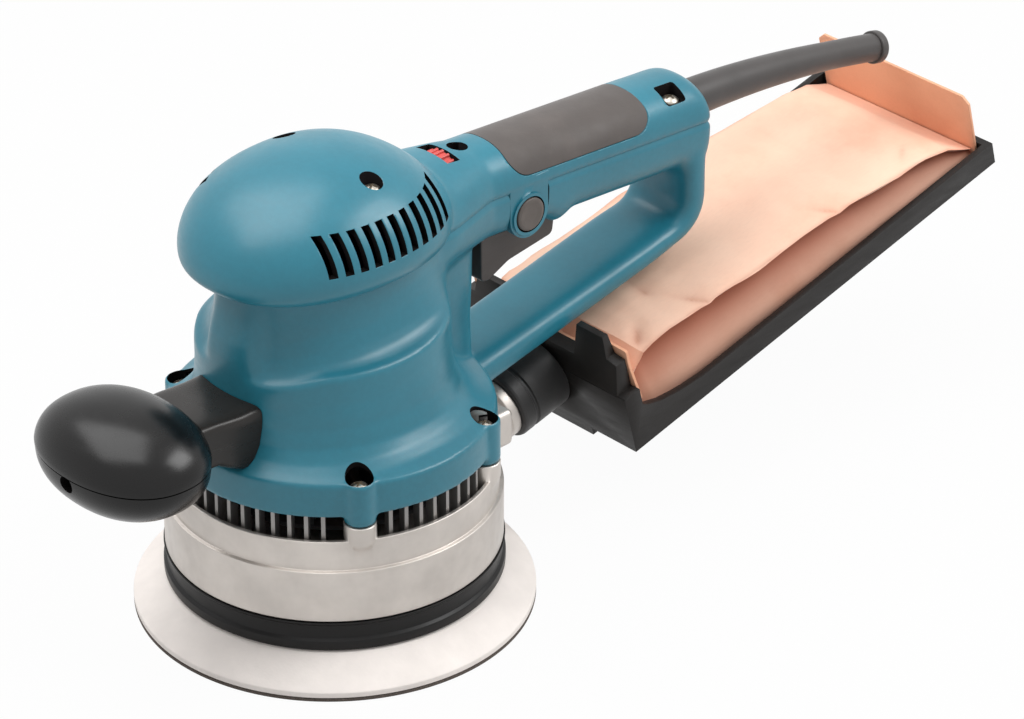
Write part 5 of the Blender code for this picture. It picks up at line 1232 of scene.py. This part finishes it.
def make_fan_housing():
    """The cast skirt with its deck, the dust nozzle, the screw posts and the cooling ribs."""
    band = SKIRT_RADIUS - 0.0015
    inner = SKIRT_RADIUS - 0.0050
    hub = 0.0165
    bearing = 0.0133
    hub_top = DECK_Z + 0.0083
    body = as_object("fan_shell", turned(rounded([
        (SKIRT_RADIUS - 0.0001, SKIRT_Z, 0.0006), (SKIRT_RADIUS, STEP_Z - 0.0002, 0.0005),
        (band, STEP_Z + 0.0001, 0.0004), (band, RIM_Z, 0.0005), (band - 0.0016, RIM_Z, 0.0004),
        (inner + 0.0012, RIM_Z - 0.0012, 0.0004),
        (inner + 0.0012, STEP_Z, 0.0008), (hub, STEP_Z, 0.001), (hub, hub_top, 0.0004),
        (bearing, hub_top, 0.0003), (bearing, DECK_Z, 0.0002), (0.0062, DECK_Z, 0.0002),
        (0.0062, DECK_Z - 0.0015, 0.0003), (hub, DECK_Z - 0.0015, 0.0004), (hub, DECK_Z, 0.0004),
        (inner, DECK_Z, 0.0015), (inner, SKIRT_Z, 0.0005)], 0.0004, 4), 192), "cast")
    rear = as_object("block", block((-0.028, 0.048, STEP_Z + 0.0005),
                                    (0.028, 0.0655, STEP_Z + 0.0155)), "cast")
    bevelled(rear, 0.0022, 4, 40)
    carve(body, rear, "UNION")
    carve(body, dust_rod([(0, -0.030), (NOZZLE_RADIUS, -0.030), (NOZZLE_RADIUS, -0.0055, 0.002),
                          (NOZZLE_COLLAR, -0.0040, 0.0006), (NOZZLE_COLLAR, 0, 0.0006),
                          (SPIGOT_RADIUS, 0, 0.0006), (SPIGOT_RADIUS, SPIGOT_LENGTH, 0.0006),
                          (0, SPIGOT_LENGTH)]), "UNION", "cast")
    carve(body, dust_rod([(0, -0.036), (NOZZLE_BORE, -0.036), (NOZZLE_BORE, 0.03), (0, 0.03)]),
          finish="cast")
    for place in boss_places():
        carve(body, gusset(place), "UNION", "cast")
    for place in boss_places():
        carve(body, rod(SCREW_HOLE, RIM_Z - 0.004, FLANGE_Z, 32, place), finish="cast")
    carve(body, cooling_ribs(inner), "UNION", "cast")
    soften(body, 32)
    finish_piece(body, "body", "cast_aluminium", "fan_housing")


def dust_rod(profile, sides=64):
    """A turned shape on the dust nozzle's axis, measured from its collar's end."""
    return moved(turned(rounded(profile, 0, 3), sides), NOZZLE_PLACE)


def gusset(place):
    """A screw post that runs out into the band below it."""
    out = place.normalized()
    top = FLANGE_Z - BOSS_DROP - GAP
    rings = []
    for height, radius, lean in (
            (STEP_Z + 0.0004, 0.0022, 0.0040), (STEP_Z + 0.0030, 0.0034, 0.0026),
            (STEP_Z + 0.0060, 0.0046, 0.0014), (STEP_Z + 0.0090, 0.0056, 0.0005),
            (RIM_Z - 0.0004, 0.0060, 0.0), (top - 0.0003, 0.0060, 0.0), (top, 0.0057, 0.0)):
        centre = place - out * lean
        rings.append([Vector((centre.x + radius * math.cos(a), centre.y + radius * math.sin(a),
                              height)) for a in around(48)])
    return skin(rings)


def cooling_ribs(inner):
    """Upright ribs behind the rim, with the air outlets between them."""
    pitch = math.radians(6)
    bosses = [math.atan2(p.y, p.x) for p in boss_places()]
    block_angle = math.atan2(inner, 0.030)
    places = []
    for i in range(60):
        angle = -math.pi + pitch * (i + 0.5)
        clear = min(abs((angle - b + math.pi) % (2 * math.pi) - math.pi) for b in bosses)
        if clear > pitch * 1.2 and not block_angle < angle < math.pi - block_angle:
            places.append(Vector((math.cos(angle), math.sin(angle), 0)) * (inner - RIB_SET_BACK))
    recipe = Recipe("cooling ribs")
    thick, deep, low, high = recipe.sizes(
        Rib_thickness=0.0015, Rib_depth=0.0042, Rib_foot=DECK_Z + 0.001, Rib_top=FLANGE_Z - GAP)
    tall = recipe.maths("SUBTRACT", high, low)
    middle = recipe.maths("MULTIPLY", recipe.maths("ADD", high, low), 0.5)
    bar = recipe.placed(
        recipe.shape("GeometryNodeMeshCube", Size=recipe.vector(deep, thick, tall)),
        Translation=recipe.vector(0, 0, middle))
    parts = recipe.node("ShaderNodeSeparateXYZ",
                        Vector=recipe.shape("GeometryNodeInputPosition"))
    angle = recipe.maths("ARCTAN2", parts.outputs[1], parts.outputs[0])
    copies = recipe.copies(recipe.start.outputs["Geometry"], bar,
                           Rotation=recipe.vector(0, 0, angle))
    # the ribs take the darkened aluminium, painted shade
    return recipe.run("rib_tool", points_mesh(places), copies, "rib")


make_skirt_ring()
make_fan_housing()


# ================================================================ pad
def make_pad():
    """The foam pad and the abrasive disc under it, off the motor's axis by the orbit."""
    holes = [ORBIT + Vector((math.cos(a), math.sin(a), 0)) * PAD_HOLE_CIRCLE
             for a in around(PAD_HOLES)]
    rim = PAD_BASE_Z + 0.0022
    pad = as_object("foam_pad", turned(rounded([
        (PAD_BOLT_HOLE, PAD_BASE_Z + 0.004, 0.0002), (PAD_RECESS, PAD_BASE_Z + 0.004, 0.0002),
        (PAD_RECESS, PAD_BASE_Z, 0.0003), (PAD_RADIUS, PAD_BASE_Z, 0.0004),
        (PAD_RADIUS, rim, 0.0008), (PAD_RADIUS - 0.0015, rim + 0.0010, 0.002),
        (0.062, PAD_TOP_Z - 0.0009, 0.002), (0.060, PAD_TOP_Z, 0.0006),
        (PAD_BOLT_HOLE, PAD_TOP_Z, 0.0003)], 0.0004, 5), 192, ORBIT), "foam")
    disc = as_object("sanding_disc", turned(rounded([
        (0, 0, 0), (PAD_RADIUS, 0, 0.0002), (PAD_RADIUS, DISC_THICKNESS, 0.0002),
        (0, DISC_THICKNESS, 0)], 0.0002, 3), 192, ORBIT), "abrasive")
    for piece, edge in ((pad, "foam"), (disc, "abrasive")):
        for place in holes:
            carve(piece, rod(PAD_HOLE_RADIUS, -0.01, PAD_TOP_Z + 0.01, 48, place), finish=edge)
        soften(piece, 35)
    finish_piece(pad, "pad", "pad_foam", "backing_pad")
    finish_piece(disc, "pad", "abrasive", "abrasive_disc")


make_pad()


# ================================================================ front grip
def knob_ring(level, grow=0.0):
    """The ball grip's outline at a height from its middle."""
    half_x, half_y, half_z = (size + grow for size in KNOB_HALF)
    size = (1 - min(0.99999, abs(level) / half_z) ** KNOB_POWER) ** (1 / KNOB_POWER)
    return [Vector((half_x * size * fuller(math.cos(a), 2 / KNOB_POWER),
                    KNOB_Y + half_y * size * fuller(math.sin(a), 2 / 2.2), KNOB_Z + level))
            for a in around(128)]


def make_knob():
    """The ball grip: two halves that meet in a narrow groove, with a hole for the bolt."""
    half = KNOB_HALF[2]
    part = KNOB_PART_Z
    sections = []
    for i in range(33):
        level = -half * math.cos(math.pi / 2 * i / 32)
        level = mix(part - 0.0004, -half, -level / half) if i < 32 else part - 0.0004
        sections.append(knob_ring(level, -0.0004))
    for rise, grow in ((-0.0003, -0.0012), (0.0001, -0.0012), (0.0002, -0.0002)):
        sections.append(knob_ring(part + rise, grow))
    for i in range(1, 33):
        sections.append(knob_ring(mix(part + 0.0006, half, math.sin(math.pi / 2 * i / 32))))
    knob = as_object("ball_grip", skin(sections), "knob", 50)
    carve(knob, knob_bolt_hole(KNOB_Y - 0.05, KNOB_Y + 0.05))
    soften(knob, 50)
    finish_piece(knob, "body", "knob_plastic", "front_knob")


def make_knob_arm():
    half = KNOB_HALF[2]
    reach = KNOB_Y + KNOB_HALF[1] * 0.35
    root = -BARREL[1]
    sections = []
    for y, share, low, high in (
            (root + 0.004, 1, ARM_LOW, ARM_HIGH), (root - 0.002, 1, ARM_LOW + 0.0003, ARM_HIGH),
            (root - 0.006, 1, ARM_LOW + 0.001, ARM_HIGH),
            (root - 0.012, 0.985, ARM_LOW + 0.004, ARM_HIGH + 0.0005),
            (root - 0.017, 0.97, ARM_LOW + 0.007, ARM_HIGH + 0.001),
            (root - 0.026, 0.96, KNOB_Z - 0.0115, KNOB_Z + 0.0075),
            (reach, 0.95, KNOB_Z - 0.010, KNOB_Z + 0.008)):
        sections.append([Vector((
            ARM_HALF_WIDTH * share * fuller(math.cos(a), ARM_SQUARE), y,
            (low + high) / 2 + (high - low) / 2 * fuller(math.sin(a), ARM_SQUARE)))
            for a in around(96)])
    arm = as_object("grip_arm", skin(sections), "arm")
    carve(arm, barrel_form(GAP), finish="arm")
    carve(arm, skin([knob_ring(mix(-half, half, i / 40) * 0.9999, GAP) for i in range(41)]),
          finish="arm")
    carve(arm, knob_bolt_hole(KNOB_Y, root - 0.010 + GAP))
    soften(arm, 40)
    finish_piece(arm, "body", "arm_plastic", "knob_arm")


def knob_bolt_hole(start, end):
    return moved(rod(KNOB_BOLT_RADIUS + GAP, start, end, 48),
                 Matrix.Translation((0, 0, KNOB_BOLT_Z)) @ LIE_DOWN)


make_knob()
make_knob_arm()


# ================================================================ cord guard
def make_cord_guard():
    stations = guard_axis(48)
    points = [p for p, _ in stations]
    guard = as_object("cord_sleeve", along_path(points, [r for _, r in stations], 64), "guard")
    carve(guard, guard_collar(0), "UNION", "guard")
    tip = points[-1]
    along = (tip - points[-3]).normalized()
    turn = Vector((0, 0, 1)).rotation_difference(along).to_matrix().to_4x4()
    lip = moved(turned(rounded([(0, -0.0027, 0), (GUARD_FLANGE_RADIUS, -0.0027, 0.0006),
                                (GUARD_FLANGE_RADIUS, 0.0009, 0.0006), (0, 0.0009, 0)], 0, 4), 64),
                Matrix.Translation(tip) @ turn)
    carve(guard, lip, "UNION", "guard")
    bore = [points[0] - Vector((0, 0.01, 0))] + points + [tip + along * 0.01]
    carve(guard, along_path(bore, [GUARD_BORE] * len(bore), 32), finish="inner")
    soften(guard, 40)
    finish_piece(guard, "body", "guard_rubber", "cord_guard")


make_cord_guard()


# ================================================================ dust holder
def tray_block(low, high):
    return moved(block(low, high), TRAY_PLACE)


def front_wall_outline():
    """The front wall's outline, notched in the middle for the bar above it."""
    return mirrored([
        (TRAY_HALF_WIDTH, 0.0), (TRAY_HALF_WIDTH, TRAY_SIDE_HIGH),
        (TRAY_SHOULDER_HALF + 0.0005, TRAY_SIDE_HIGH + 0.004),
        (TRAY_SHOULDER_HALF, TRAY_SHOULDER_HEIGHT),
        (TRAY_HORN_OUTER + 0.002, TRAY_SHOULDER_HEIGHT + 0.001),
        (TRAY_HORN_OUTER, TRAY_HORN_HEIGHT), (TRAY_HORN_INNER, TRAY_HORN_HEIGHT),
        (TRAY_HORN_INNER - 0.0015, TRAY_SHOULDER_HEIGHT - 0.004)])


def upright(outline, thickness, along):
    return extruded(outline, thickness, TRAY_PLACE @ Matrix.Translation((0, along, 0)) @ STAND_UP)


def nozzle_hole():
    radius = SPIGOT_RADIUS + GAP * 2
    return dust_rod([(0, -0.01), (radius, -0.01), (radius, 0.060), (0, 0.060)])


def make_tray():
    """The open tray that carries the bag, with a notched front wall round the nozzle."""
    tray = as_object("holder_tray", tray_block(
        (-TRAY_HALF_WIDTH, 0, 0), (TRAY_HALF_WIDTH, TRAY_LENGTH, 0.026)), "holder")
    carve(tray, tray_block(
        (-TRAY_HALF_WIDTH + TRAY_WALL, TRAY_SHELF, TRAY_FLOOR),
        (TRAY_HALF_WIDTH - TRAY_WALL, TRAY_LENGTH - TRAY_WALL, 0.05)), finish="holder")
    carve(tray, upright(front_wall_outline(), TRAY_SHELF, TRAY_SHELF / 2), "UNION", "holder")
    side_on = TRAY_PLACE @ SIDE_ON
    above = [(TRAY_SHELF + 0.0002, 0.06), (TRAY_SHELF + 0.0002, 0.0183), (0.0110, 0.0162),
             (0.0170, 0.0136), (0.0240, 0.0119), (0.0300, 0.0108),
             (0.0400, TRAY_SIDE_LOW - 0.0004), (TRAY_LENGTH + 0.01, TRAY_SIDE_LOW - 0.0004),
             (TRAY_LENGTH + 0.01, 0.06)]
    carve(tray, extruded(above, 0.12, side_on), finish="holder")
    lean = [(-0.01, 0.0255), (0.0002, 0.0255), (TRAY_FACE_LEAN, TRAY_HORN_HEIGHT + 0.0002),
            (TRAY_FACE_LEAN, 0.06), (-0.01, 0.06)]
    carve(tray, extruded(lean, 0.12, side_on), finish="holder")
    carve(tray, nozzle_hole(), finish="holder")
    foot = tray_block((-0.0216, 0.0004, -0.0038), (0.0216, 0.0140, 0.0010))
    carve(tray, foot, "UNION", "holder")
    bevelled(tray, 0.0007, 3, 30)
    soften(tray, 40)
    finish_piece(tray, "dust_holder", "holder_plastic", "dust_tray")


def make_sleeve():
    """The ribbed sleeve from the nozzle's collar to the tray."""
    rise = Vector((0, NOZZLE_END_Y, NOZZLE_END_Z)) - Vector((0, TRAY_FRONT_Y, TRAY_FRONT_Z))
    along = -(rise.y * math.cos(DUST_TILT) + rise.z * math.sin(DUST_TILT)) - GAP
    bore = SPIGOT_RADIUS + GAP
    sleeve = as_object("rubber_sleeve", dust_rod([
        (SLEEVE_RADIUS - 0.0004, GAP, 0.0008), (SLEEVE_RADIUS, 0.0016, 0.0004),
        (SLEEVE_RADIUS, 0.0060, 0.0003), (SLEEVE_RADIUS - 0.0008, 0.0064, 0.0003),
        (SLEEVE_RADIUS - 0.0008, 0.0076, 0.0003), (SLEEVE_RADIUS, 0.0080, 0.0003),
        (SLEEVE_RADIUS, along, 0.0004), (bore, along, 0.0003), (bore, GAP, 0.0004)], 96), "sleeve")
    finish_piece(sleeve, "dust_holder", "sleeve_rubber", "dust_sleeve")


def make_cards():
    """The card that the bag is glued to, and the flap that closes its far end."""
    side = [(CARD_HALF_WIDTH - 0.0015, TRAY_FLOOR + GAP, 0.001), (CARD_HALF_WIDTH, 0.0188, 0.001),
            (CARD_HALF_WIDTH + 0.0030, 0.0196, 0.002), (CARD_HALF_WIDTH, 0.0350, 0.004),
            (CARD_HALF_WIDTH, CARD_HEIGHT, 0.001), (0.0205, CARD_HEIGHT + 0.0010, 0.001),
            (0.0180, 0.0335, 0.002)]
    make_card("front_card", side, CARD_START + CARD_THICKNESS / 2, "bag_front_card", True)

    side = [(FLAP_HALF_WIDTH, TRAY_FLOOR + GAP, 0.001),
            (FLAP_HALF_WIDTH, FLAP_HEIGHT - 0.003, 0.001),
            (FLAP_HALF_WIDTH - 0.0032, FLAP_HEIGHT, 0.001)]
    end = TRAY_LENGTH - TRAY_WALL - GAP
    make_card("end_flap", side, end - CARD_THICKNESS / 2, "bag_end_flap")


def make_card(name, side, along, node, bored=False):
    outline = rounded(mirrored(side), 0.001, 4)
    card = as_object(name, upright(outline, CARD_THICKNESS, along), "card")
    if bored:
        carve(card, nozzle_hole(), finish="card")
    bevelled(card, 0.0003, 2, 30)
    finish_piece(card, "dust_holder", "bag_card", node)


make_tray()
make_sleeve()
make_cards()


# ================================================================ paper bag
BAG_FOLDS = ((BAG_START, 0.0245), (0.0150, 0.0290), (0.0190, 0.0330), (0.0350, 0.0336),
             (0.0560, 0.0313), (0.0830, 0.0290), (0.1060, 0.0274), (0.1270, 0.0264),
             (0.1440, 0.0228), (0.1600, 0.0203), (0.1770, 0.0176), (0.1890, 0.0145),
             (0.1960, 0.0100), (BAG_STOP, 0.0070))
CREASES = (                            # start, end, half width and depth, in the bag's own frame
    ((0.0386, 0.0560), (0.0150, 0.0440), 0.0070, 0.0013),
    ((0.0150, 0.0440), (-0.0386, 0.0500), 0.0100, 0.0009),
    ((0.0386, 0.1275), (0.0220, 0.1170), 0.0060, 0.0012),
    ((0.0250, 0.1780), (0.0386, 0.1610), 0.0060, 0.0010),
    ((0.0270, 0.0270), (0.0386, 0.0170), 0.0060, 0.0016),
    ((-0.0386, 0.0930), (-0.0050, 0.0780), 0.0090, 0.0009),
    ((-0.0300, 0.1500), (0.0200, 0.1460), 0.0110, 0.0006),
    ((-0.0386, 0.0230), (0.0270, 0.0270), 0.0080, -0.0012))


def fold_height(along):
    return float(np.interp(along, *zip(*BAG_FOLDS)))


def crease_drop(x, along):
    """How far the creases pull the paper down, as shallow tents along their lines."""
    drop = 0.0
    here = Vector((x, along))
    for start, end, half, depth in CREASES:
        start, end = Vector(start), Vector(end)
        line = end - start
        share = min(1.0, max(0.0, (here - start).dot(line) / line.length_squared))
        off = (here - start - line * share).length / half
        if off < 1:
            fade = 0.35 + 0.65 * math.sin(math.pi * min(1, share + 0.3))
            drop += depth * (1 - off) ** 1.4 * fade
    return drop


def crumple(x, y):
    """Flat facets of creased paper, as the folded value of a few slanted waves."""
    total = 0.0
    for turn, pitch, shift, size in ((0.35, 0.031, 0.2, 1.0), (1.25, 0.043, 1.4, 0.8),
                                     (2.20, 0.023, 2.9, 0.6), (2.80, 0.057, 0.7, 0.9)):
        phase = ((x * math.cos(turn) + y * math.sin(turn)) / pitch + shift) % 1.0
        total += size * (abs(2 * phase - 1) - 0.5)
    return total / 3.3


def bag_section(along):
    """The bag's outline: flat foot, side gussets folded inwards, crowned top."""
    count = 44
    base = TRAY_FLOOR + GAP
    fold = fold_height(along)
    tall = fold - base
    middle = min(1.0, (along - BAG_START) / 0.030, (BAG_STOP - along) / 0.030)
    middle = ease(middle)
    tucking = min(1.0, (along - BAG_START) / 0.014, (BAG_STOP - along) / 0.030)
    tuck = mix(0.0012, BAG_TUCK, ease(tucking))
    valley = base + tall * 0.76
    half = BAG_HALF_WIDTH - 0.0016 * (1 - ease((along - BAG_START) / 0.010))
    sway = 0.0003 * math.sin(along * 95 + 0.4) + 0.0003 * math.sin(along * 170)
    side = []
    for i in range(count):
        t = i / (count - 1)
        if t < 0.12:
            side.append((half * t / 0.12, base))
        elif t < 0.40:
            k = (t - 0.12) / 0.28
            swell = 0.0016 * math.sin(math.pi * min(1, k * 1.5)) * middle
            x = mix(half, half - tuck, k ** 1.7) + swell
            side.append((x, mix(base, valley, k)))
        elif t < 0.55:
            k = (t - 0.40) / 0.15
            side.append((mix(half - tuck, half + sway, k ** 0.85), mix(valley, fold, k ** 1.1)))
        else:
            k = (t - 0.55) / 0.45
            x = (half + sway) * math.cos(math.pi / 2 * k)
            crown = 0.0016 + 0.0016 * ease((along - 0.13) / 0.05)
            lift = crown * math.sin(math.pi / 2 * k) ** 0.8
            side.append((x, fold + lift * middle))
    points = side + [(-x, z) for x, z in reversed(side[1:-1])]
    ring = []
    for x, z in points:
        top = ease((z - fold + 0.0006) / 0.0005)
        z -= crease_drop(x, along) * top
        ripple = crumple(x, along) if top > 0.5 else crumple(x * 2 + z * 3, along * 1.6 + 0.1)
        if z > base + 1e-5:
            z += (0.0016 * top + 0.0003) * ripple * middle
            x += math.copysign(0.0007, x) * ripple * (1 - top) * middle if abs(x) > 0.02 else 0
        ring.append(Vector((x, along, z)))
    return ring


def make_bag():
    steps = 190
    sections = [bag_section(mix(BAG_START, BAG_STOP, i / steps)) for i in range(steps + 1)]
    bag = as_object("dust_bag", moved(skin(sections), TRAY_PLACE), "paper", 32)
    mark_folds(bag)
    finish_piece(bag, "dust_holder", "bag_paper", "paper_bag")


def mark_folds(bag):
    """Stores each point's painted shade for the paper's finish: along the fold edge and in the
    creases, and in the tuck under the fold.
    """
    back = TRAY_PLACE.inverted()
    fold_shade = bag.data.attributes.new("fold", "FLOAT", "POINT")
    tuck_shade = bag.data.attributes.new("tuck_shade", "FLOAT", "POINT")
    for vert in bag.data.vertices:
        x, along, z = back @ vert.co
        fold = fold_height(along)
        below = (fold - z) / max(fold - TRAY_FLOOR, 1e-4)
        # painted shade along the fold edge and in the creases
        edge = math.exp(-((abs(x) - BAG_HALF_WIDTH) / 0.0012) ** 2 - ((z - fold) / 0.0016) ** 2)
        line = min(1.0, crease_drop(x, along) / 0.0012) ** 3 if below < 0.1 else 0.0
        fold_shade.data[vert.index].value = max(edge * 0.5, line * 0.6)
        # painted shade in the tuck under the fold, darkest just below the fold and lighter towards
        # the foot
        lighter = 0.55 * ease((below - 0.25) / 0.5)
        tuck_shade.data[vert.index].value = ease((below - 0.02) / 0.10) * (1 - lighter)


make_bag()


# ================================================================ inner parts that the model shows
INNER = {
    "pad_bolt": "steel", "pad_spindle": "steel", "pad_bearing": "steel", "eccentric_hub": "steel",
    "dust_fan": "cast", "cooling_fan": "switch", "motor_shaft": "steel", "lower_bearing": "steel",
    "upper_bearing": "steel", "rotor_core": "core", "rotor_winding_lower": "copper",
    "rotor_winding_upper": "copper", "commutator": "copper", "stator_core": "core",
    "carbon_brush_left": "carbon", "carbon_brush_right": "carbon", "brush_holder_left": "brass",
    "brush_holder_right": "brass", "switch": "switch", "speed_controller": "switch",
    "knob_bolt": "steel", "cord_clamp": "switch",
}


def dress_inner_parts():
    for name, finish in INNER.items():
        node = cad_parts[name]
        for slot in node.material_slots:
            slot.material = finishes[finish].material


dress_inner_parts()


# ================================================================ stage
def make_stage():
    shape = bmesh.new()
    shape.faces.new([shape.verts.new((x * FLOOR_HALF, y * FLOOR_HALF, FLOOR_Z))
                     for x, y in ((-1, -1), (1, -1), (1, 1), (-1, 1))])
    mesh = bpy.data.meshes.new("floor")
    shape.to_mesh(mesh)
    shape.free()
    floor = in_scene("floor", mesh)
    made = bpy.data.materials.new("pale floor")
    made.use_nodes = True
    shader = made.node_tree.nodes["Principled BSDF"]
    shader.inputs["Base Color"].default_value = (FLOOR_SHADE, FLOOR_SHADE, FLOOR_SHADE, 1)
    shader.inputs["Roughness"].default_value = 0.9
    end = made.node_tree.nodes["Material Output"].inputs[0]
    show_white(made.node_tree, shader.outputs[0], end, "ShaderNodeEmission", FLOOR_WHITE)
    mesh.materials.append(made)

    world = bpy.data.worlds.new("studio")
    bpy.context.scene.world = world
    world.use_nodes = True
    tree = world.node_tree
    background = tree.nodes["Background"]
    background.inputs["Color"].default_value = (1, 1, 1, 1)
    background.inputs["Strength"].default_value = WORLD_STRENGTH
    show_white(tree, background.outputs[0], tree.nodes["World Output"].inputs[0],
               "ShaderNodeBackground", 1.0)


def show_white(tree, shader, end, kind, share):
    """Lets the camera, mirrors and glass see the shader mixed with plain white by a share."""
    nodes = Nodes(tree)
    white = nodes.node(kind, Color=(1, 1, 1, 1), Strength=1.0)
    path = nodes.node("ShaderNodeLightPath")
    seen = path.outputs["Is Camera Ray"]
    for ray in ("Is Glossy Ray", "Is Transmission Ray"):
        seen = nodes.maths("MAXIMUM", seen, path.outputs[ray])
    choice = nodes.node("ShaderNodeMixShader")
    for socket, value in zip(choice.inputs, (nodes.maths("MULTIPLY", seen, share), shader,
                                             white.outputs[0])):
        nodes.link(value, socket)
    nodes.link(choice.outputs[0], end)


def lamp(name, place, aim, size, power):
    data = bpy.data.lights.new(name, "AREA")
    data.shape = "RECTANGLE"
    data.size, data.size_y = size
    data.energy = power
    made = in_scene(name, data)
    place, aim = Vector(place), Vector(aim)
    made.matrix_world = (Matrix.Translation(place)
                         @ (aim - place).to_track_quat("-Z", "Y").to_matrix().to_4x4())


make_stage()
lamp("key", (-0.40, -0.30, 1.5), (0, 0.05, 0.08), (1.4, 1.4), 20)
lamp("rear", (0.8, 0.9, 1.2), (0, 0.25, 0.05), (0.8, 0.8), 13.5)

bpy.context.scene.view_settings.view_transform = "Standard"
